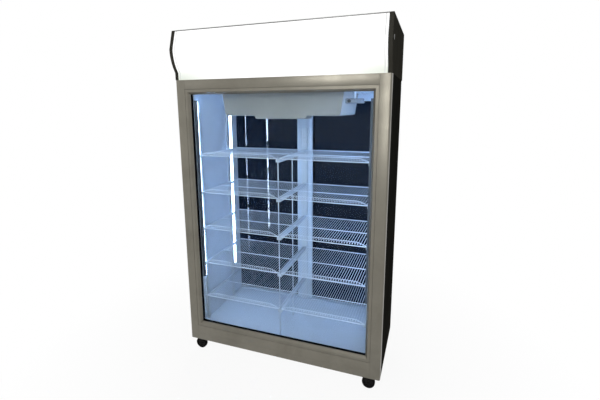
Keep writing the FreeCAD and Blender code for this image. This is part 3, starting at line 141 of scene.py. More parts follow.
def mixColour(tree, mask, first, second):
    return addNode(tree, "ShaderNodeMix", {0: mask, 6: first, 7: second}, data_type="RGBA").outputs[2]


def fillGroup(tree, group, **values):
    return addNode(tree, "ShaderNodeGroup", values, node_tree=group).outputs[0]


def startLook(name):
    material = bpy.data.materials.new(name)
    material.use_nodes = True
    material.node_tree.nodes.clear()
    looks[name] = material
    tree = material.node_tree
    place = addNode(tree, "ShaderNodeTexCoord").outputs["Object"]
    return tree, place


def endLook(tree, shader):
    addNode(tree, "ShaderNodeOutputMaterial", {"Surface": shader.outputs[0]})


def surfaceLook(name, slot, colour, shade, rough, metal=0.0, stretch=(1, 1, 1), grain=400.0, lift=0.15,
                smear=5.0, dust=0.0, scuff=0.0, specular=0.5, coat=0.0):
    tree, place = startLook(name)
    grainMask = fillGroup(tree, grainGroup, Place=place, Stretch=stretch, Scale=grain)
    smearMask = fillGroup(tree, smearGroup, Place=place, Scale=smear)
    tone = mixColour(tree, smearMask, rgba(colour), rgba(shade))
    if dust:
        dustMask = fillGroup(tree, dustGroup, Place=place, Scale=wearPlan["dustScale"], Amount=dust)
        tone = mixColour(tree, dustMask, tone, rgba(wearPlan["dustTone"]))
    if scuff:
        scuffMask = fillGroup(tree, scuffGroup, Place=place, Top=wearPlan["scuffTop"], Amount=scuff)
        tone = mixColour(tree, scuffMask, tone, rgba(wearPlan["scuffTone"]))
    spread = remap(tree, combine(tree, "ADD", grainMask, smearMask), 0.0, 2.0, *rough)
    bump = addNode(
        tree, "ShaderNodeBump", {"Height": grainMask, "Strength": lift, "Distance": wearPlan["bumpDepth"]}
    )
    shader = addNode(
        tree, "ShaderNodeBsdfPrincipled",
        {
            "Base Color": tone, "Metallic": metal, "Roughness": spread, "Normal": bump.outputs[0],
            "Specular IOR Level": specular, "Coat Weight": coat,
        },
    )
    endLook(tree, shader)


def glassLook(name, colour, ior, film, smear=3.0):
    tree, place = startLook(name)
    smearMask = fillGroup(tree, smearGroup, Place=place, Scale=smear)
    spread = remap(tree, smearMask, high=film)
    shade = tuple(channel * wearPlan["filmShade"] for channel in colour)
    tone = mixColour(tree, smearMask, rgba(colour), rgba(shade))
    shader = addNode(
        tree, "ShaderNodeBsdfPrincipled",
        {"Base Color": tone, "Roughness": spread, "Transmission Weight": 1.0, "IOR": ior},
    )
    endLook(tree, shader)


def glowLook(name, colour, edge, mirrored, strength, spacing):
    tree, place = startLook(name)
    axes = addNode(tree, "ShaderNodeSeparateXYZ", {0: place})
    beat = combine(tree, "PINGPONG", axes.outputs["Z"], spacing)
    tone = mixColour(tree, remap(tree, beat, end=spacing), rgba(colour), rgba(edge))
    rays = addNode(tree, "ShaderNodeLightPath")
    tone = mixColour(tree, rays.outputs["Is Glossy Ray"], tone, rgba(mirrored))  # painted reflection: glossy rays see the strip brighter than it shines
    shader = addNode(
        tree, "ShaderNodeBsdfPrincipled",
        {
            "Base Color": rgba((0.9, 0.93, 0.96)), "Roughness": 0.45, "Emission Color": tone,
            "Emission Strength": strength,
        },
    )
    endLook(tree, shader)


lengthwise, upright = (0.02, 1, 1), (1, 1, 0.02)
frameTones = (0.192, 0.181, 0.150), (0.163, 0.153, 0.125)
surfaceLook("frameUpright", "frame_aluminium", *frameTones, (0.34, 0.50), metal=0.8, stretch=upright, grain=1400,
            lift=0.10, scuff=0.25)
surfaceLook("frameAcross", "frame_aluminium", *frameTones, (0.34, 0.50), metal=0.8, stretch=lengthwise, grain=1400,
            lift=0.10, dust=0.12, scuff=0.25)
surfaceLook("beadMetal", "frame_aluminium", *frameTones, (0.38, 0.52), metal=0.75, grain=900, lift=0.06)
surfaceLook("blackPaint", "black_panel", (0.015, 0.015, 0.013), (0.022, 0.021, 0.018), (0.34, 0.52), grain=700,
            lift=0.20, smear=3.0, dust=0.2, scuff=0.16, specular=0.0)
surfaceLook("blackCap", "black_panel", (0.040, 0.038, 0.031), (0.047, 0.045, 0.038), (0.38, 0.55), grain=1600,
            lift=0.30, smear=4.0, dust=0.2, specular=0.0)
surfaceLook("linerPaint", "liner_white", (0.78, 0.82, 0.87), (0.72, 0.76, 0.82), (0.22, 0.34), grain=500, lift=0.06,
            smear=3.0)
# the cooler cover is white like the liner; this darker grey is painted shade for the shade its fascia sits in
surfaceLook("coolerPlasticShaded", "liner_white", (0.36, 0.335, 0.295), (0.325, 0.30, 0.265), (0.34, 0.46), grain=1200,
            lift=0.08, smear=4.0)
surfaceLook("foamSkin", "foam", (0.74, 0.62, 0.34), (0.66, 0.54, 0.28), (0.6, 0.8), grain=180, lift=0.5)
surfaceLook("galvanised", "galvanised_sheet", (0.55, 0.57, 0.58), (0.44, 0.46, 0.48), (0.30, 0.50), metal=0.9,
            grain=90, lift=0.04, smear=30.0, dust=0.25)
surfaceLook("doorMetal", "door_aluminium", grey(0.055), grey(0.045), (0.30, 0.44), metal=0.5, stretch=upright,
            grain=1400, lift=0.06, smear=4.0, scuff=0.2)
surfaceLook("jambPaint", "door_aluminium", (0.68, 0.73, 0.78), (0.62, 0.67, 0.72), (0.30, 0.45), grain=600, lift=0.08)
surfaceLook("lidPaint", "lid_metal", (0.20, 0.20, 0.195), (0.17, 0.17, 0.165), (0.36, 0.52), metal=0.3, grain=700,
            lift=0.12, dust=0.5)
surfaceLook("grillePaint", "lid_metal", (0.035, 0.035, 0.034), (0.028, 0.028, 0.027), (0.40, 0.55), grain=700,
            lift=0.15, dust=0.3)
surfaceLook("blackMould", "black_plastic", grey(0.018), grey(0.025), (0.38, 0.58), grain=1500, lift=0.25, dust=0.2)
surfaceLook("compressorPaint", "compressor_black", (0.010, 0.010, 0.011), grey(0.016), (0.18, 0.34), grain=240,
            lift=0.12, dust=0.4, coat=0.3)
surfaceLook("finStock", "coil_fins", (0.72, 0.74, 0.75), (0.60, 0.62, 0.63), (0.30, 0.46), metal=0.9, stretch=upright,
            grain=500, lift=0.10)
surfaceLook("motorMetal", "motor_metal", (0.40, 0.41, 0.42), (0.33, 0.34, 0.35), (0.28, 0.44), metal=0.9, grain=600,
            lift=0.08)
surfaceLook("copperTube", "copper_tube", (0.70, 0.36, 0.22), (0.48, 0.25, 0.15), (0.20, 0.42), metal=1.0, grain=400,
            lift=0.06, smear=24.0)
surfaceLook("greyMould", "grey_plastic", (0.10, 0.105, 0.12), (0.08, 0.085, 0.10), (0.34, 0.50), grain=1200,
            lift=0.15)
surfaceLook("whiteMould", "grey_plastic", (0.78, 0.79, 0.79), (0.72, 0.73, 0.73), (0.30, 0.45), grain=1200, lift=0.10)
surfaceLook("paleMould", "grey_plastic", (0.24, 0.25, 0.27), (0.20, 0.21, 0.23), (0.30, 0.45), grain=1200, lift=0.10)
surfaceLook("hubNylon", "castor_rubber", grey(0.013), grey(0.009), (0.40, 0.55), grain=800, lift=0.12, dust=0.03,
            scuff=0.06, specular=0.06)
surfaceLook("uprightPaint", "upright_steel", (0.72, 0.75, 0.77), (0.66, 0.69, 0.72), (0.26, 0.42), metal=0.1,
            grain=800, lift=0.06)
surfaceLook("whiteWire", "white_wire", (0.92, 0.94, 0.96), (0.87, 0.89, 0.92), (0.28, 0.42), metal=0.15, grain=900,
            lift=0.05)
surfaceLook("sealRubber", "seal_rubber", grey(0.055), grey(0.07), (0.55, 0.75), grain=1200, lift=0.2)
surfaceLook("spacerBlack", "seal_rubber", (0.006, 0.007, 0.010), (0.009, 0.010, 0.013), (0.6, 0.75), grain=1200,
            lift=0.1, specular=0.05)
surfaceLook("zincSteel", "hinge_steel", (0.56, 0.55, 0.52), (0.44, 0.43, 0.41), (0.24, 0.42), metal=0.95, grain=500,
            lift=0.08, smear=16.0)
surfaceLook("screwSteel", "hinge_steel", (0.62, 0.62, 0.60), (0.50, 0.50, 0.48), (0.22, 0.36), metal=1.0, grain=900,
            lift=0.05)
surfaceLook("forkPaint", "fork_steel", grey(0.006), (0.010, 0.010, 0.009), (0.40, 0.55), grain=700, lift=0.10,
            dust=0.05, scuff=0.06, specular=0.05)
surfaceLook("treadRubber", "castor_rubber", grey(0.005), grey(0.008), (0.60, 0.80), grain=900, lift=0.3, dust=0.03,
            scuff=0.08, specular=0.03)
# the front panes' blue tint is partly the glass's own and partly painted light, cooling and dimming the interior seen
# through them
glassLook("clearPaneCoolCast", (0.88, 0.93, 0.975), 1.06, film=0.003)
# the rear doors' inside pane is coloured almost black: painted shade for the dark seen through the rear windows
glassLook("shadeDarkPane", (0.003, 0.008, 0.022), 1.30, film=0.003)
glassLook("doorPane", (0.93, 0.96, 0.975), 1.12, film=0.002)
# the strips' third colour is a painted reflection, brighter than their own glow, seen in panes and glossy parts
glowLook("ledGlow", (0.38, 0.59, 1.0), (0.12, 0.20, 0.36), (1.5, 1.7, 2.0), 72.0, 0.008)
glowLook("lampGlow", (0.95, 0.97, 1.0), (0.92, 0.95, 1.0), (0.95, 0.97, 1.0), 2.0, 0.05)


# the lit panel dims towards its lower corners and darkens at the two end folds
glowPlan = dict(ends=(0.30, 0.60), rise=(1.86, 1.78), corner=(0.54, 0.60, 0.48), foldAt=0.5895, foldHalf=0.0022,
                foldTone=(0.50, 0.51, 0.50), base=0.25, film=(0.14, 0.26), smear=2.0, strength=0.95)


def signLook(name):
    plan = glowPlan
    tree, place = startLook(name)
    axes = addNode(tree, "ShaderNodeSeparateXYZ", {0: place})
    along = addNode(tree, "ShaderNodeMath", {0: axes.outputs["X"]}, operation="ABSOLUTE").outputs[0]
    ends = remap(tree, along, *plan["ends"])
    low = remap(tree, axes.outputs["Z"], *plan["rise"])
    fold = addNode(tree, "ShaderNodeMath", {0: along, 1: plan["foldAt"], 2: plan["foldHalf"]}, operation="COMPARE")
    tone = mixColour(tree, combine(tree, "MULTIPLY", ends, low), rgba(grey(1)), rgba(plan["corner"]))
    tone = mixColour(tree, fold.outputs[0], tone, rgba(plan["foldTone"]))
    smearMask = fillGroup(tree, smearGroup, Place=place, Scale=plan["smear"])
    shader = addNode(
        tree, "ShaderNodeBsdfPrincipled",
        {
            "Base Color": rgba(grey(plan["base"])), "Roughness": remap(tree, smearMask, 0.0, 1.0, *plan["film"]),
            "Emission Color": tone, "Emission Strength": plan["strength"],
        },
    )
    endLook(tree, shader)


signLook("signGlow")
print("looks made:", len(looks))


# mesh helpers
def keepPiece(name, bm, look, stands=(), body="cabinet", sharp=32, recalculate=True):
    if recalculate:
        bmesh.ops.recalc_face_normals(bm, faces=bm.faces)
    mesh = bpy.data.meshes.new(name)
    bm.to_mesh(mesh)
    bm.free()
    for face in mesh.polygons:
        face.use_smooth = True
    mesh.set_sharp_from_angle(angle=math.radians(sharp))
    mesh.materials.append(looks[look])
    piece = bpy.data.objects.new(name, mesh)
    scene.collection.objects.link(piece)
    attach(piece, body)
    if stands:
        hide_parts(*stands)


def bevelEdges(bm, edges, offset, segments=2, clamp=True):
    return bmesh.ops.bevel(
        bm, geom=list(edges), offset=offset, offset_type="OFFSET", affect="EDGES", segments=segments, profile=0.5,
        material=-1, clamp_overlap=clamp,
    )["verts"]


def addBlock(bm, low, high, round=0.0, segments=2):
    verts = bmesh.ops.create_cube(bm, size=1.0)["verts"]
    low, high = Vector(low), Vector(high)
    bmesh.ops.scale(bm, vec=high - low, verts=verts)
    bmesh.ops.translate(bm, vec=(low + high) / 2, verts=verts)
    if round <= 0:
        return verts
    made = bevelEdges(bm, {edge for vert in verts for edge in vert.link_edges}, round, segments)
    return list(set(made) | {vert for vert in verts if vert.is_valid})


def addRod(bm, start, end, radius, sides=20, round=0.0):
    start, end = Vector(start), Vector(end)
    line = end - start
    place = Matrix.Translation((start + end) / 2) @ line.to_track_quat("Z", "Y").to_matrix().to_4x4()
    verts = bmesh.ops.create_cone(
        bm, cap_ends=True, cap_tris=False, segments=sides, radius1=radius, radius2=radius, depth=line.length,
        matrix=place,
    )["verts"]
    if round > 0:
        rims = {edge for vert in verts for edge in vert.link_edges if any(len(f.verts) > 4 for f in edge.link_faces)}
        bevelEdges(bm, rims, round)


def addTurned(bm, outline, centre, axis, steps=32, closed=False):
    axis, centre = Vector(axis).normalized(), Vector(centre)
    side = axis.orthogonal().normalized()
    verts = [bm.verts.new(centre + side * radius + axis * height) for radius, height in outline]
    edges = [bm.edges.new(pair) for pair in zip(verts, verts[1:])]
    if closed:
        edges.append(bm.edges.new((verts[-1], verts[0])))
    before = set(bm.verts) - set(verts)
    bmesh.ops.spin(
        bm, geom=verts + edges, cent=centre, axis=axis, dvec=(0, 0, 0), angle=2 * math.pi, steps=steps,
        use_merge=True, use_duplicate=False,
    )
    bmesh.ops.remove_doubles(bm, verts=[vert for vert in bm.verts if vert not in before], dist=1e-6)


def addProfile(bm, outline, along, start, end):
    order = {"x": (2, 0, 1), "y": (0, 2, 1), "z": (0, 1, 2)}[along]
    verts = []
    for pair in outline:
        triple = (*pair, start)
        verts.append(bm.verts.new([triple[i] for i in order]))
    face = bm.faces.new(verts)
    grown = bmesh.ops.extrude_face_region(bm, geom=[face])["geom"]
    moved = [item for item in grown if isinstance(item, bmesh.types.BMVert)]
    step = [0, 0, 0]
    step["xyz".index(along)] = end - start
    bmesh.ops.translate(bm, vec=step, verts=moved)


def addRing(bm, low, high, inset):
    # an upright rectangular ring: a grid face with its middle taken out, then given depth
    low, high = Vector(low), Vector(high)
    size = high - low
    verts = bmesh.ops.create_grid(bm, x_segments=1, y_segments=1, size=0.5)["verts"]
    bmesh.ops.rotate(bm, verts=verts, matrix=Matrix.Rotation(math.pi / 2, 3, "X"))
    bmesh.ops.scale(bm, vec=size, verts=verts)
    bmesh.ops.translate(bm, vec=((low.x + high.x) / 2, low.y, (low.z + high.z) / 2), verts=verts)
    face = verts[0].link_faces[0]
    rim = bmesh.ops.inset_region(bm, faces=[face], thickness=inset, use_even_offset=True, use_boundary=True)["faces"]
    bmesh.ops.delete(bm, geom=[face], context="FACES")
    grown = bmesh.ops.extrude_face_region(bm, geom=rim)["geom"]
    moved = [item for item in grown if isinstance(item, bmesh.types.BMVert)]
    bmesh.ops.translate(bm, vec=(0, size.y, 0), verts=moved)


def roundedPath(points, radius, closed=False):
    # a wire's corner points, each turned into a short bend
    points = [Vector(p) for p in points]
    count = len(points)
    path = []
    for i, point in enumerate(points):
        if not closed and i in (0, count - 1):
            path.append(point)
            continue
        back = points[i - 1] - point
        ahead = points[(i + 1) % count] - point
        reach = min(radius, back.length * 0.45, ahead.length * 0.45)
        enter, leave = point + back.normalized() * reach, point + ahead.normalized() * reach
        path += [enter, (enter + leave + point * 2) / 4, leave]
    return path


def addWires(bm, paths, radius, detail=1, closed=False):
    curve = bpy.data.curves.new("wire", "CURVE")
    curve.dimensions = "3D"
    curve.bevel_depth = radius
    curve.bevel_resolution = detail
    curve.use_fill_caps = True
    for path in paths:
        spline = curve.splines.new("POLY")
        spline.points.add(len(path) - 1)
        for point, spot in zip(spline.points, path):
            point.co = (*spot, 1.0)
        spline.use_cyclic_u = closed
    holder = bpy.data.objects.new("wire", curve)
    scene.collection.objects.link(holder)
    mesh = bpy.data.meshes.new_from_object(holder.evaluated_get(bpy.context.evaluated_depsgraph_get()))
    bm.from_mesh(mesh)
    bpy.data.objects.remove(holder)
    bpy.data.curves.remove(curve)
    bpy.data.meshes.remove(mesh)


def addScrew(bm, spot, axis, radius=0.0035, head=0.0016):
    # a pan head, dished in the middle
    outline = [
        (0.0, head * 0.45), (radius * 0.30, head * 0.5), (radius * 0.42, head), (radius * 0.75, head * 0.85),
        (radius, head * 0.25), (radius, 0.0),
    ]
    addTurned(bm, outline, spot, axis, steps=16)


def dressNode(node, look):
    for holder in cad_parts[node].material_slots:
        holder.material = looks[look]


# front frame
frameTrim = dict(outerRound=0.009, outerSteps=6, edgeRound=0.0008, sharpOver=1.0)


def makeFrame():
    for node in ("front_stile_left", "front_stile_right", "front_rail_top", "front_rail_bottom"):
        low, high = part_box(node)
        bm = bmesh.new()
        addBlock(bm, low, high)
        if "stile" in node:
            outer = high.x if high.x > 0 else low.x
            edges = [
                edge for edge in bm.edges
                if all(abs(vert.co.x - outer) < 1e-5 and abs(vert.co.y - low.y) < 1e-5 for vert in edge.verts)
            ]
            bevelEdges(bm, edges, frameTrim["outerRound"], frameTrim["outerSteps"], clamp=False)
        sharpEdges = [edge for edge in bm.edges if edge.calc_face_angle(0) > frameTrim["sharpOver"]]
        bevelEdges(bm, sharpEdges, frameTrim["edgeRound"], clamp=False)
        keepPiece(node + "_trim", bm, "frameUpright" if "stile" in node else "frameAcross", (node,))
    dressNode("glazing_beads", "beadMetal")


makeFrame()

glassUnit = dict(pane=0.004, arris=0.0006, sightX=0.537, sightLow=0.232, sightHigh=1.699, spacer=0.012)


def addPane(bm, low, high, y):
    # one pane of a unit, as wide and high as the unit, from y backwards
    addBlock(bm, (low.x, y, low.z), (high.x, y + glassUnit["pane"], high.z), glassUnit["arris"], 1)


def makeFrontGlass():
    low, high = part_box("front_glass")
    pane, width = glassUnit["pane"], glassUnit["spacer"]
    for name, y in (("front_pane_outer", low.y), ("front_pane_inner", high.y - pane)):
        bm = bmesh.new()
        addPane(bm, low, high, y)
        # both front panes carry the blue tint that paints a cool light cast on the interior
        keepPiece(name, bm, "clearPaneCoolCast", ("front_glass",))
    bm = bmesh.new()
    across = glassUnit["sightX"] + width
    addRing(bm, (-across, low.y + pane, glassUnit["sightLow"] - width),
            (across, high.y - pane, glassUnit["sightHigh"] + width), width)
    keepPiece("pane_spacer", bm, "spacerBlack", ("front_glass",))


makeFrontGlass()
print("front made")

# cabinet shell
shellPlan = dict(
    side_panel_left=("blackPaint", 0.0016), side_panel_right=("blackPaint", 0.0016), base_pan=("galvanised", 0.0008),
    top_deck=("galvanised", 0.0005), rear_frame=("jambPaint", 0.0015), header_cap_left=("blackCap", 0.0018),
    header_cap_right=("blackCap", 0.0018), header_lid=("lidPaint", 0.0008), header_switch=("blackMould", 0.0006),
    condenser_shroud=("galvanised", 0.0006), shelf_supports=("uprightPaint", 0.0006),
    door_hinges=("zincSteel", 0.0007),
)


def copyNode(node):
    # the node's own form, merged, its flat faces joined
    bm = bmesh.new()
    bm.from_mesh(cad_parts[node].data)
    bmesh.ops.remove_doubles(bm, verts=bm.verts, dist=1e-5)
    bmesh.ops.dissolve_limit(bm, angle_limit=math.radians(0.6), verts=bm.verts, edges=bm.edges)
    return bm


def roundEdges(bm, radius, segments=2, over=35, picked=None):
    edges = [
        edge for edge in bm.edges
        if len(edge.link_faces) == 2 and edge.calc_face_angle(0) > math.radians(over)
        and (picked is None or picked(edge))
    ]
    bevelEdges(bm, edges, radius, segments)


def keepRounded(node, name, body, look, radius, segments=2, sharp=32):
    bm = copyNode(node)
    roundEdges(bm, radius, segments)
    keepPiece(name, bm, look, (node,), body, sharp)


def makeShell():
    for node, (look, radius) in shellPlan.items():
        body = "switch_rocker" if node == "header_switch" else "cabinet"
        keepRounded(node, "formed_" + node, body, look, radius)
    for node, look in (("inner_liner", "linerPaint"), ("insulation", "foamSkin"), ("sign_tray", "galvanised")):
        dressNode(node, look)


makeShell()
print("shell made")

# lit header
signPlan = dict(top=(-0.310, 2.052), knee=(-0.342, 1.950), arc=0.226, arcEnd=0.597, foot=(-0.302, 1.782),
                sheet=0.004, soften=0.014, steps=16)
lampTubes = dict(y=-0.278, levels=(1.864, 1.978), radius=0.0128, reach=0.570, cap=0.022, capOver=0.0002,
                 holderBack=-0.2538, holderWidth=(0.010, 0.001), holderHalf=0.011)
grillePlan = dict(edge=0.0005, screwX=(-0.590, -0.300, 0.300, 0.590), screwUp=0.014, screwDown=0.012, sunk=0.0001)


def makeSign():
    plan = signPlan
    low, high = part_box("sign_panel")
    topEdge, knee = Vector(plan["top"]), Vector(plan["knee"])
    centre = knee + Vector((plan["arc"], 0))
    lean = knee + (topEdge - knee).normalized() * plan["soften"]
    start = plan["soften"] / plan["arc"]
    curve = []
    for i in range(plan["steps"] + 1):
        turn = start + (plan["arcEnd"] - start) * i / plan["steps"]
        curve.append(centre - Vector((math.cos(turn), math.sin(turn))) * plan["arc"])
    outer = [topEdge, lean, (lean + curve[0] + knee * 2) / 4, *curve, Vector(plan["foot"])]
    inner = [spot + Vector((plan["sheet"], 0)) for spot in reversed(outer)]
    bm = bmesh.new()
    addProfile(bm, outer + inner, "x", low.x, high.x)
    keepPiece("sign_face", bm, "signGlow", ("sign_panel",))


def makeSignLamps():
    plan = lampTubes
    glass, fittings = bmesh.new(), bmesh.new()
    for z in plan["levels"]:
        inner = plan["reach"] - plan["cap"]
        addRod(glass, (-inner, plan["y"], z), (inner, plan["y"], z), plan["radius"], 24)
        for side in (-1, 1):
            ends = (side * inner, plan["y"], z), (side * plan["reach"], plan["y"], z)
            addRod(fittings, *ends, plan["radius"] + plan["capOver"], 24, round=0.0008)
            xs = sorted(side * (plan["reach"] - off) for off in plan["holderWidth"])
            low = (xs[0], plan["y"] + plan["radius"] * 0.6, z - plan["holderHalf"])
            addBlock(fittings, low, (xs[1], plan["holderBack"], z + plan["holderHalf"]), 0.0015)
    keepPiece("lamp_tubes", glass, "lampGlow", ("sign_lamps",))
    keepPiece("lamp_fittings", fittings, "whiteMould", ("sign_lamps",))


def makeGrille():
    bm = copyNode("rear_grille")
    roundEdges(bm, grillePlan["edge"], 1)
    low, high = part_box("rear_grille")
    for x in grillePlan["screwX"]:
        for z in (low.z + grillePlan["screwUp"], high.z - grillePlan["screwDown"]):
            addScrew(bm, (x, high.y - grillePlan["sunk"], z), (0, 1, 0))
    keepPiece("vent_panel", bm, "grillePaint", ("rear_grille",))


makeSign()
makeSignLamps()
makeGrille()
print("header made")

# machine compartment
pumpPlan = dict(
    spot=(0.400, 0.060), floor=1.782, seam=1.876, seamRadius=0.0885, feet=(0.090, 0.060), footRise=0.0062,
    foot=[(0, 0.010), (0.005, 0.010), (0.0055, 0.004), (0.009, 0.003), (0.009, 0), (0, 0)],
    boxHalf=0.030, boxY=(-0.087, -0.066), boxZ=(0.050, 0.112), boxRound=0.004, screwRise=0.081,
)


def makeCompressor():
    plan = pumpPlan
    x, y = plan["spot"]
    floor, wide = plan["floor"], plan["seamRadius"]
    bm = copyNode("compressor")
    ring = [(wide - 0.003, -0.004), (wide, -0.003), (wide + 0.0012, 0), (wide, 0.003), (wide - 0.003, 0.004)]
    addTurned(bm, ring, (x, y, plan["seam"]), (0, 0, 1), 64, closed=True)
    for side in (-1, 1):
        for end in (-1, 1):
            spot = (x + side * plan["feet"][0], y + end * plan["feet"][1], floor + plan["footRise"])
            addTurned(bm, plan["foot"], spot, (0, 0, 1), 20)
    (front, back), (bottom, top) = plan["boxY"], plan["boxZ"]
    addBlock(bm, (x - plan["boxHalf"], y + front, floor + bottom), (x + plan["boxHalf"], y + back, floor + top),
             plan["boxRound"], 3)
    addScrew(bm, (x, y + front, floor + plan["screwRise"]), (0, -1, 0), 0.004, 0.001)
    keepPiece("pump_shell", bm, "compressorPaint", ("compressor",))


coilPlan = dict(condenser=dict(gap=0.003, rows=3, columns=8), cooler=dict(gap=0.006, rows=5, columns=3),
                tube=0.0048, plate=0.0012, plateEdge=0.0003, fin=0.0003, bendRoom=0.011, bend=0.008,
                clear=0.0005, finShy=(0.002, 0.001))


def makeFinPack(node, name, gap, rows, columns):
    # thin fins between two end plates, threaded on rows of tube with return bends
    plan = coilPlan
    low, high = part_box(node)
    start, end = low.x + plan["bendRoom"], high.x - plan["bendRoom"]
    shyY, shyZ = plan["finShy"]
    pack, tubes = bmesh.new(), bmesh.new()
    count = int((end - start) / gap)
    for i in range(1, count):
        x = start + (end - start) * i / count
        addBlock(pack, (x, low.y + shyY, low.z + shyZ), (x + plan["fin"], high.y - shyY, high.z - shyZ))
    for x in (start - plan["plate"], end):
        addBlock(pack, (x, low.y, low.z), (x + plan["plate"], high.y, high.z), plan["plateEdge"], 1)
    radius = plan["tube"]
    turn = (high.x - radius - plan["clear"], low.x + radius + plan["clear"])
    paths = []
    for row in range(rows):
        y = low.y + (high.y - low.y) * (row + 0.5) / rows
        heights = [low.z + (high.z - low.z) * (k + 0.5) / columns for k in range(columns)]
        route = []
        for k, z in enumerate(heights):
            route += [(turn[(k + 1) % 2], y, z), (turn[k % 2], y, z)]
        paths.append(roundedPath(route, plan["bend"]))
    addWires(tubes, paths, radius, 2)
    keepPiece(name + "_fins", pack, "finStock", (node,))
    keepPiece(name + "_tubes", tubes, "copperTube", (node,), sharp=60)


fanPlan = dict(
    blades=5, root=0.019, length=0.0700, taper=0.010, chord=0.034, belly=0.020, tilt=30, twist=12, flatten=0.72,
    sweep=0.008, tip=0.0897, thickness=0.0014, bellyAt=0.9, motorEdge=0.0012,
    behindGrille=(-0.240, 0.189, 1.892), inCooler=(0, 0.008, 1.590),
    hub=[(0, 0.0085), (0.016, 0.0080), (0.0205, 0.0045), (0.0215, -0.0080), (0.0175, -0.0080), (0.0170, 0.0050),
         (0.0049, 0.0060), (0.0049, -0.0060), (0.0041, -0.0060), (0.0041, 0.0062), (0, 0.0062)],
)


def makeFan(node, name, centre, axis, body):
    # twisted blades on a dished hub, made about the origin and then put in place
    plan = fanPlan
    bm = bmesh.new()
    addTurned(bm, plan["hub"], (0, 0, 0), (0, 0, 1), 32)
    blades = []
    for number in range(plan["blades"]):
        verts = bmesh.ops.create_grid(bm, x_segments=10, y_segments=6, size=0.5)["verts"]
        for vert in verts:
            out, across = vert.co.x + 0.5, vert.co.y
            chord = plan["chord"] + plan["belly"] * math.sin(math.pi * min(out * plan["bellyAt"], 1))
            tilt = math.radians(plan["tilt"] - plan["twist"] * out)
            reach = plan["root"] + out * plan["length"] - plan["taper"] * across * across * out
            sweep = across * chord * math.cos(tilt) + plan["sweep"] * out * out
            vert.co = (reach, sweep, across * chord * math.sin(tilt) * plan["flatten"])
            vert.co *= min(1.0, plan["tip"] / math.hypot(vert.co.x, vert.co.y))
        turn = Matrix.Rotation(2 * math.pi * number / plan["blades"], 3, "Z")
        bmesh.ops.rotate(bm, verts=verts, cent=(0, 0, 0), matrix=turn)
        blades += verts
    faces = list({face for vert in blades for face in vert.link_faces})
    bmesh.ops.recalc_face_normals(bm, faces=faces)
    bmesh.ops.solidify(bm, geom=faces, thickness=plan["thickness"])
    line = Vector(axis).to_track_quat("Z", "Y").to_matrix()
    bmesh.ops.rotate(bm, verts=bm.verts, cent=(0, 0, 0), matrix=line)
    bmesh.ops.translate(bm, vec=Vector(centre), verts=bm.verts)
    keepPiece(name, bm, "blackMould", (node,), body, 50)


controlPlan = dict(edge=0.0015, screwX=0.012, screwZ=0.014, sunk=0.0001)


def makeSet():
    makeCompressor()
    makeFinPack("condenser", "condenser_pack", **coilPlan["condenser"])
    makeFinPack("evaporator_coil", "cooler_pack", **coilPlan["cooler"])
    makeFan("condenser_fan", "condenser_blades", fanPlan["behindGrille"], (0, 1, 0), "condenser_fan_wheel")
    makeFan("evaporator_fan", "cooler_blades", fanPlan["inCooler"], (0, 0, 1), "evaporator_fan_wheel")
    keepRounded("condenser_motor", "condenser_drive", "cabinet", "motorMetal", fanPlan["motorEdge"])
    keepRounded("evaporator_motor", "cooler_drive", "cabinet", "motorMetal", fanPlan["motorEdge"])
    keepPiece("copper_lines", copyNode("pipework"), "copperTube", ("pipework",), sharp=50)
    bm = copyNode("electrical_box")
    roundEdges(bm, controlPlan["edge"])
    low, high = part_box("electrical_box")
    for x in (low.x + controlPlan["screwX"], high.x - controlPlan["screwX"]):
        for z in (low.z + controlPlan["screwZ"], high.z - controlPlan["screwZ"]):
            addScrew(bm, (x, low.y + controlPlan["sunk"], z), (0, -1, 0))
    keepPiece("control_box", bm, "blackMould", ("electrical_box",))


makeSet()
print("refrigeration set made")

# air cooler cover and thermostat in the cabin
coolerPlan = dict(softEdge=0.009, softSteps=5, fanSpot=(0, 0.008), guardHeight=1.5755,
                  guardRings=(0.018, 0.033, 0.048, 0.063, 0.078, 0.093), guardSteps=48, guardWire=0.0011,
                  guardOver=0.004, spokes=4, spokeTurn=0.39, spokeDrop=0.0018)
dialPlan = dict(head=0.026, boxRound=0.003, face=0.0022, plateRim=0.003, plateDepth=0.004, plateRound=0.0008,
                knob=0.010, knobDepth=0.009, knobX=0.398, knobRise=0.013, knobSeat=0.0005, stem=0.0058,
                stemSeat=0.001, pointer=((-0.001, 0.001), (-0.0012, 0.0005), (-0.001, 0.0085)), pointerEdge=0.0004)


def makeCooler():
    plan = coolerPlan
    low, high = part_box("evaporator_cover")
    bm = copyNode("evaporator_cover")

    def onFascia(edge):
        return all(abs(vert.co.y - low.y) < 1e-5 and vert.co.z < high.z - 1e-5 for vert in edge.verts)

    roundEdges(bm, plan["softEdge"], plan["softSteps"], picked=onFascia)
    # the cover's grey colour is painted shade on a white cover
    keepPiece("cooler_cover", bm, "coolerPlasticShaded", ("evaporator_cover",))
    bm = bmesh.new()
    x, y = plan["fanSpot"]
    z = plan["guardHeight"]
    turns = [number * 2 * math.pi / plan["guardSteps"] for number in range(plan["guardSteps"])]
    for radius in plan["guardRings"]:
        ring = [(x + radius * math.cos(turn), y + radius * math.sin(turn), z) for turn in turns]
        addWires(bm, [ring], plan["guardWire"], 1, closed=True)
    reach = plan["guardRings"][-1] + plan["guardOver"]
    middle = Vector((x, y, z - plan["spokeDrop"]))
    spokes = []
    for number in range(plan["spokes"]):
        turn = number * math.pi / plan["spokes"] + plan["spokeTurn"]
        way = Vector((math.cos(turn), math.sin(turn), 0)) * reach
        spokes.append([middle - way, middle + way])
    addWires(bm, spokes, plan["guardWire"], 1)
    keepPiece("fan_guard", bm, "whiteWire", ("evaporator_cover",), sharp=70, recalculate=False)


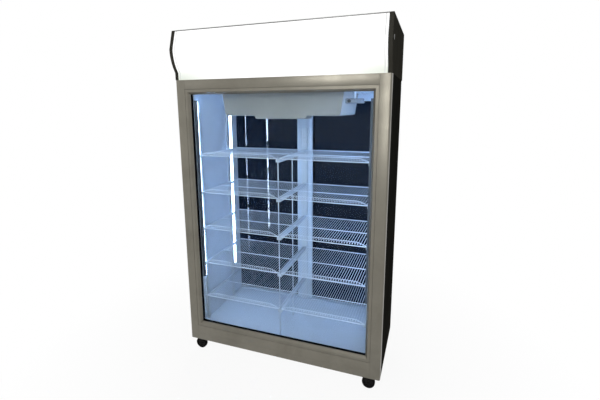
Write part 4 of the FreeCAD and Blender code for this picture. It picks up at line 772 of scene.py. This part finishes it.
def makeThermostat():
    plan = dialPlan
    low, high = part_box("thermostat")
    head, rim = low.z + plan["head"], plan["plateRim"]
    bm = bmesh.new()
    addBlock(bm, (low.x, low.y + plan["face"], low.z), (high.x, high.y, head), plan["boxRound"], 3)
    keepPiece("dial_box", bm, "greyMould", ("thermostat",))
    bm = bmesh.new()
    addBlock(bm, (low.x + rim, low.y, low.z + rim), (high.x - rim, low.y + plan["plateDepth"], head - rim),
             plan["plateRound"])
    keepPiece("dial_face", bm, "paleMould", ("thermostat",))
    bm = bmesh.new()
    knob, deep = plan["knob"], plan["knobDepth"]
    x, y, z = spot = (plan["knobX"], low.y + plan["knobSeat"], low.z + plan["knobRise"])
    addTurned(bm, [(0, deep), (knob * 0.8, deep), (knob * 0.88, deep * 0.8), (knob, 0.001), (knob, 0), (0, 0)], spot,
              (0, -1, 0), 28)
    pointer = [(at + start, at + end) for at, (start, end) in zip((x, y - deep, z), plan["pointer"])]
    addBlock(bm, *zip(*pointer), plan["pointerEdge"], 1)
    keepPiece("dial_knob", bm, "blackMould", ("thermostat",))
    bm = bmesh.new()
    middle, depth = (low.x + high.x) / 2, (low.y + high.y) / 2
    addRod(bm, (middle, depth, head - plan["stemSeat"]), (middle, depth, high.z), plan["stem"], 20)
    keepPiece("dial_stem", bm, "whiteMould", ("thermostat",))


makeCooler()
makeThermostat()
print("cooler made")

# slotted wall uprights, centre posts and rear channel
uprightPlan = dict(wall=0.537, face=0.527, gauge=0.0014, width=0.025, starts=(-0.232, 0.104), floor=0.222,
                   top=1.622, slot=(0.009, 0.014), pitch=0.025, post=0.003, posts=(-0.246, -0.0137),
                   postEdge=0.0012, postTop=1.345, webShy=0.0002, channelHalf=0.020, channelFace=0.226,
                   channelTop=1.480, shallow=0.89)


def addSlotted(bm, place, top):
    # a box section whose face is a ladder of slots; place maps section coordinates to the cabinet
    plan = uprightPlan
    width, height = plan["slot"]
    verts = []
    depth = plan["wall"] - plan["face"]
    sides = ((0, plan["gauge"]), (plan["width"] - plan["gauge"], plan["width"]))
    for low, high in sides:
        verts += addBlock(bm, (low, 0, plan["floor"]), (high, depth, top))
    verts += addBlock(bm, (0, depth - plan["gauge"], plan["floor"]), (plan["width"], depth, top))
    middle = plan["width"] / 2
    for low, high in ((0, middle - width / 2), (middle + width / 2, plan["width"])):
        verts += addBlock(bm, (low, 0, plan["floor"]), (high, plan["gauge"], top))
    count = int((top - plan["floor"]) / plan["pitch"])
    lows = [plan["floor"]] + [plan["floor"] + plan["pitch"] * (i + 0.5) + height / 2 for i in range(count)]
    for i, low in enumerate(lows):
        high = lows[i + 1] - height if i < count else top
        verts += addBlock(bm, (middle - width / 2, plan["webShy"], low), (middle + width / 2, plan["gauge"], high))
    for vert in verts:
        vert.co = place(vert.co)


def makeUprights():
    plan = uprightPlan
    bm = bmesh.new()
    for side in (-1, 1):
        for start in plan["starts"]:
            addSlotted(bm, lambda co: Vector((side * (plan["face"] + co.y), start + co.x, co.z)), plan["top"])
    for y in plan["posts"]:
        addRod(bm, (0, y, plan["floor"]), (0, y, plan["postTop"]), plan["post"], 20, round=plan["postEdge"])
    scale = 2 * plan["channelHalf"] / plan["width"]
    addSlotted(
        bm,
        lambda co: Vector((co.x * scale - plan["channelHalf"], plan["channelFace"] + co.y * plan["shallow"], co.z)),
        plan["channelTop"],
    )
    keepPiece("slotted_uprights", bm, "uprightPaint", ("shelf_uprights",))


lightPlan = dict(
    wall=0.537, sunk=0.001, high=1.664, cap=0.006, rim=0.0004, capRim=0.0006,
    front=dict(look="greyMould", y=(-0.256, -0.242), lit=(-0.2445, -0.2420), low=0.535, proud=0.5200),
    rear=dict(look="whiteMould", y=(0.154, 0.176), lit=(0.1540, 0.1610), low=0.461, proud=0.5250),
)


def makeLights():
    # the front strips light backwards, the rear ones towards the front glass; the rest of each is its holder
    plan = lightPlan
    wall, rim = plan["wall"], plan["rim"]
    covers = bmesh.new()
    for row in ("front", "rear"):
        strip = plan[row]
        (y0, y1), (near, far), proud = strip["y"], strip["lit"], strip["proud"]
        bottom, top = strip["low"] + plan["cap"], plan["high"] - plan["cap"]
        inset = wall - plan["sunk"]
        cover = [(inset, near), (proud + rim, near), (proud, near + rim), (proud, far - rim), (proud + rim, far),
                 (inset, far)]
        holders = bmesh.new()
        for side in (-1, 1):
            x0, x1 = sorted((side * wall, side * proud))
            addProfile(covers, [(side * x, y) for x, y in cover], "z", bottom, top)
            for start, end in ((y0, near), (far, y1)):
                if end > start:
                    addBlock(holders, (x0, start, bottom), (x1, end, top), rim, 1)
            for z in (strip["low"], top):
                addBlock(holders, (x0, y0, z), (x1, y1, z + plan["cap"]), plan["capRim"], 1)
        keepPiece("light_holders_" + row, holders, strip["look"], ("led_strips",))
    keepPiece("light_covers", covers, "ledGlow", ("led_strips",))


makeUprights()
makeLights()
print("uprights and lights made")

# rear doors
doorPlan = dict(depth=(0.265, 0.302), border=0.050, rebate=0.010, corner=0.004, edge=0.0009, glassRear=0.287,
                spacer=0.010, spacerIn=0.004, gasket=0.014, gasketBack=0.2652, sealFace=0.2553, grip=0.005,
                screwOff=0.012, screw=0.004, lockHigh=0.700, lock=(0.009, 0.003), sunk=0.0002)


def addMitred(bm, low, high, section, gap=0.00015):
    # four lengths of one section, cut at 45 degrees and butted
    for quarter in range(4):
        length = (high.x - low.x, high.z - low.z)[quarter % 2]
        start = [bm.verts.new((u + gap, y, u)) for u, y in section]
        face = bm.faces.new(start)
        grown = bmesh.ops.extrude_face_region(bm, geom=[face])["geom"]
        end = [item for item in grown if isinstance(item, bmesh.types.BMVert)]
        for vert in end:
            vert.co.x = length - vert.co.z - gap
        verts = start + end
        corner = ((low.x, low.z), (high.x, low.z), (high.x, high.z), (low.x, high.z))[quarter]
        bmesh.ops.rotate(bm, verts=verts, cent=(0, 0, 0), matrix=Matrix.Rotation(-quarter * math.pi / 2, 3, "Y"))
        bmesh.ops.translate(bm, vec=(corner[0], 0, corner[1]), verts=verts)


def makeDoor(word):
    plan = doorPlan
    node, body = "door_%s_" % word, "door_" + word
    low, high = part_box(node + "frame")
    front, rear = plan["depth"]
    lip = plan["border"] - plan["rebate"]
    bm = bmesh.new()
    addMitred(bm, low, high, [
        (0, front), (lip, front), (lip, plan["glassRear"]), (plan["border"], plan["glassRear"]),
        (plan["border"], rear - plan["corner"]), (plan["border"] - plan["corner"], rear), (0, rear),
    ])
    roundEdges(bm, plan["edge"])
    keepPiece(node + "members", bm, "doorMetal", (node + "frame",), body)

    low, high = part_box(node + "glass")
    pane, edge = glassUnit["pane"], plan["spacerIn"]
    # the inside pane is the near-black painted-shade glass, the outside one clear
    for name, y, look in (("inside", low.y, "shadeDarkPane"), ("outside", high.y - pane, "doorPane")):
        bm = bmesh.new()
        addPane(bm, low, high, y)
        keepPiece(node + "pane_" + name, bm, look, (node + "glass",), body)
    bm = bmesh.new()
    addRing(bm, (low.x + edge, low.y + pane, low.z + edge), (high.x - edge, high.y - pane, high.z - edge),
            plan["spacer"])
    keepPiece(node + "spacer", bm, "spacerBlack", (node + "glass",), body)

    low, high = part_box(node + "gasket")
    wide, face, back = plan["gasket"], plan["sealFace"], plan["gasketBack"]
    bm = bmesh.new()
    addMitred(bm, low, high, [
        (0.0015, face), (wide - 0.0015, face), (wide, face + 0.0015), (wide - 0.0005, face + 0.003),
        (wide - 0.0025, face + 0.0045), (wide - 0.0005, face + 0.006), (wide - 0.0005, back), (0.0005, back),
        (0.0005, face + 0.006), (0.0025, face + 0.0045), (0.0005, face + 0.003), (0, face + 0.0015),
    ], 0.0)
    keepPiece(node + "seal", bm, "sealRubber", (node + "gasket",), body)

    keepRounded(node + "handle", node + "grip", body, "blackMould", plan["grip"], 4, 50)
    bm = bmesh.new()
    low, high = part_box(node + "handle")
    middle, y = (low.x + high.x) / 2, rear - plan["sunk"]
    for z in (low.z - plan["screwOff"], high.z + plan["screwOff"]):
        addScrew(bm, (middle, y, z), (0, 1, 0), plan["screw"])
    addScrew(bm, (middle, y, plan["lockHigh"]), (0, 1, 0), *plan["lock"])
    keepPiece(node + "fixings", bm, "screwSteel", (node + "handle",), body)


for word in ("left", "right"):
    makeDoor(word)
print("doors made")

# castors
castorPlan = dict(wheelZ=0.038, x=0.570, trail=0.016, rows=dict(front=-0.242, rear=0.212), tread=0.0125,
                  seat=0.0284, steps=56, bolt=0.0062, boltAt=0.030, boltReach=(-0.0045, 0.0005),
                  boltRound=0.0004, plateLow=0.100, forkEdge=0.0008, plateEdge=0.0007)


def mirrorOutline(outline):
    return [(radius, -height) for radius, height in outline] + outline[::-1]


def makeCastor(end, side):
    plan = castorPlan
    key = end + "_" + side
    x = plan["x"] if side == "right" else -plan["x"]
    y = plan["rows"][end]
    keepRounded("castor_fork_" + key, "fork_shell_" + key, "fork_" + key, "forkPaint", plan["forkEdge"])
    spot = (x - plan["trail"], y, plan["wheelZ"])
    half, seat = plan["tread"], plan["seat"]
    bm = bmesh.new()
    tyre = [(0.0292, half), (0.0350, half), (0.0366, half * 0.88), (0.0376, half * 0.6), (0.0380, half * 0.25)]
    bore = [(seat, half * 0.8), (seat, -half * 0.8)]
    addTurned(bm, mirrorOutline(tyre) + bore, spot, (0, 1, 0), plan["steps"], closed=True)
    keepPiece("tread_" + key, bm, "treadRubber", ("castor_wheel_" + key,), "wheel_" + key)
    bm = bmesh.new()
    hub = [(0.00408, 0.0152), (0.0100, 0.0152), (0.0106, 0.0146), (0.0110, 0.0050), (0.0240, 0.0042),
           (0.0262, half * 0.85), (seat, half * 0.85)]
    addTurned(bm, mirrorOutline(hub), spot, (0, 1, 0), plan["steps"], closed=True)
    keepPiece("hub_" + key, bm, "hubNylon", ("castor_wheel_" + key,), "wheel_" + key)


def makeCastorPlates():
    plan = castorPlan
    bm = copyNode("castor_plates")
    roundEdges(bm, plan["plateEdge"])
    for side in (-1, 1):
        for y in plan["rows"].values():
            for dx in (-1, 1):
                for dy in (-1, 1):
                    spot = Vector((side * plan["x"] + dx * plan["boltAt"], y + dy * plan["boltAt"], plan["plateLow"]))
                    ends = (spot + Vector((0, 0, z)) for z in plan["boltReach"])
                    addRod(bm, *ends, plan["bolt"], 6, round=plan["boltRound"])
    keepPiece("castor_tops", bm, "zincSteel", ("castor_plates",))


makeCastorPlates()
for end in ("front", "rear"):
    for side in ("left", "right"):
        makeCastor(end, side)
print("castors made")

# wire shelves
shelfPlan = dict(levels=5, near=0.006, frameWire=0.0029, crossWire=0.0028, crossAt=0.229, fineWire=0.0015,
                 lipWire=0.0017, pitch=0.015, endRoom=0.016, lipTop=0.026, lipRun=0.050, lipLean=0.0045,
                 lipFoot=0.002, lipBend=0.014, turnUp=0.004, turnFrom=0.3, behindLip=0.001, fineSeat=0.8,
                 corner=0.012)


def makeShelf(number):
    # two banks; the fine wires turn up at the front to carry the lip, but not where it dips at its ends
    node = "shelf_level_%d" % number
    low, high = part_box(node)
    plan = shelfPlan
    near, far, r = plan["near"], high.x, plan["frameWire"]
    bm = bmesh.new()
    for side in (-1, 1):
        x0, x1 = side * (near + r), side * (far - r)
        y0, y1, z = low.y + r, high.y - r, low.z + r
        loop = [(x0, y0, z), (x1, y0, z), (x1, y1, z), (x0, y1, z)]
        addWires(bm, [roundedPath(loop, plan["corner"], closed=True)], r, 2, closed=True)
        middle = low.y + plan["crossAt"]
        addWires(bm, [[(x0, middle, z), (x1, middle, z)]], plan["crossWire"], 2)
        yLip, zLip = y0 + plan["lipLean"], low.z + plan["lipTop"] - plan["lipWire"]
        run = side * plan["lipRun"]
        yFoot = y0 + plan["lipFoot"]
        lip = [(x0, yFoot, z), (x0 + run, yLip, zLip), (x1 - run, yLip, zLip), (x1, yFoot, z)]
        addWires(bm, [roundedPath(lip, plan["lipBend"])], plan["lipWire"], 2)
        zFine = low.z + 2 * r + plan["fineWire"] * plan["fineSeat"]
        count = int((far - near - plan["endRoom"]) // plan["pitch"])
        first = (near + far) / 2 - count * plan["pitch"] / 2
        fine = []
        for i in range(count + 1):
            x = first + i * plan["pitch"]
            inset = min(x - near, far - x)
            rise = min(1.0, max(0.0, (inset - r) / plan["lipRun"]))
            top = zFine + (zLip - zFine) * rise
            path = [(side * x, y1, zFine), (side * x, yLip + plan["behindLip"], zFine)]
            if rise > plan["turnFrom"]:
                path.append((side * x, yLip + plan["behindLip"], top))
            fine.append(roundedPath(path, plan["turnUp"]))
        addWires(bm, fine, plan["fineWire"], 0)
    keepPiece("wire_shelf_%d" % number, bm, "whiteWire", (node, "shelf_lips"), sharp=70, recalculate=False)


for number in range(1, shelfPlan["levels"] + 1):
    makeShelf(number)
print("shelves made")


# studio: what is seen directly, mirrored or through glass is white, and what only lights is dimmer
studioPlan = dict(reach=30.0, tone=grey(0.86), fade=(0.7, 1.8), glow=(0.92, 1.0), sky=(0.42, 1.0))


def seenRays(tree):
    rays = addNode(tree, "ShaderNodeLightPath").outputs
    seen = combine(tree, "MAXIMUM", rays["Is Camera Ray"], rays["Is Glossy Ray"])
    return combine(tree, "MAXIMUM", seen, rays["Is Transmission Ray"])


def makeFloor():
    bm = bmesh.new()
    bmesh.ops.create_grid(bm, x_segments=1, y_segments=1, size=studioPlan["reach"])
    mesh = bpy.data.meshes.new("studio_floor")
    bm.to_mesh(mesh)
    bm.free()
    floor = bpy.data.objects.new("studio_floor", mesh)
    scene.collection.objects.link(floor)
    material = bpy.data.materials.new("paleFloor")
    material.use_nodes = True
    tree = material.node_tree
    tree.nodes.clear()
    matt = addNode(tree, "ShaderNodeBsdfDiffuse", {"Color": rgba(studioPlan["tone"])})
    glow = addNode(tree, "ShaderNodeEmission", {"Color": rgba(grey(1)), "Strength": 1.0})
    place = addNode(tree, "ShaderNodeTexCoord").outputs["Object"]
    away = addNode(tree, "ShaderNodeVectorMath", {0: place}, operation="LENGTH")
    share = remap(tree, away.outputs["Value"], *studioPlan["fade"], *studioPlan["glow"])
    blend = addNode(tree, "ShaderNodeMixShader", {0: share, 1: matt.outputs[0], 2: glow.outputs[0]})
    pick = addNode(tree, "ShaderNodeMixShader", {0: seenRays(tree), 1: matt.outputs[0], 2: blend.outputs[0]})
    addNode(tree, "ShaderNodeOutputMaterial", {"Surface": pick.outputs[0]})
    mesh.materials.append(material)


def makeWorld():
    world = bpy.data.worlds.new("studio")
    scene.world = world
    world.use_nodes = True
    tree = world.node_tree
    tree.nodes.clear()
    strength = remap(tree, seenRays(tree), 0.0, 1.0, *studioPlan["sky"])
    sky = addNode(tree, "ShaderNodeBackground", {"Color": rgba(grey(1)), "Strength": strength})
    addNode(tree, "ShaderNodeOutputWorld", {"Surface": sky.outputs[0]})


# name, place, target, size in metres, power in watts
lampPlan = [
    ("keyLamp", (0.35, -2.7, 2.35), (0.4, -0.3, 1.5), 1.0, 29.0),
    ("fillLamp", (-3.4, -2.8, 2.2), (0.0, 0.0, 1.0), 2.0, 6.0),
    ("rearLamp", (-1.2, 4.5, 3.2), (0.0, 0.0, 1.0), 2.4, 60.0),
]


def makeLamps():
    for name, spot, target, size, power in lampPlan:
        lamp = bpy.data.lights.new(name, "AREA")
        lamp.shape = "DISK"
        lamp.size = size
        lamp.energy = power
        holder = bpy.data.objects.new(name, lamp)
        holder.location = spot
        holder.rotation_euler = (Vector(target) - Vector(spot)).to_track_quat("-Z", "Y").to_euler()
        scene.collection.objects.link(holder)


cameraPlan = dict(
    spot=(0.81846, -2.19265, 1.61775), lens=22.3014, shift=(0.004193, -0.037181),
    turn=((0.941304, -0.057922, 0.332554), (0.337528, 0.175125, -0.924882), (-0.004668, 0.982841, 0.184396)),
)


def makeCamera():
    lens = bpy.data.cameras.new("photoCamera")
    lens.sensor_width = 36.0
    lens.sensor_fit = "HORIZONTAL"
    lens.lens = cameraPlan["lens"]
    lens.shift_x, lens.shift_y = cameraPlan["shift"]
    lens.clip_start = 0.05
    camera = bpy.data.objects.new("photoCamera", lens)
    camera.matrix_world = Matrix.Translation(cameraPlan["spot"]) @ Matrix(cameraPlan["turn"]).to_4x4()
    scene.collection.objects.link(camera)
    scene.camera = camera


makeFloor()
makeWorld()
makeLamps()
makeCamera()
scene.view_settings.view_transform = "Standard"
print("studio made")
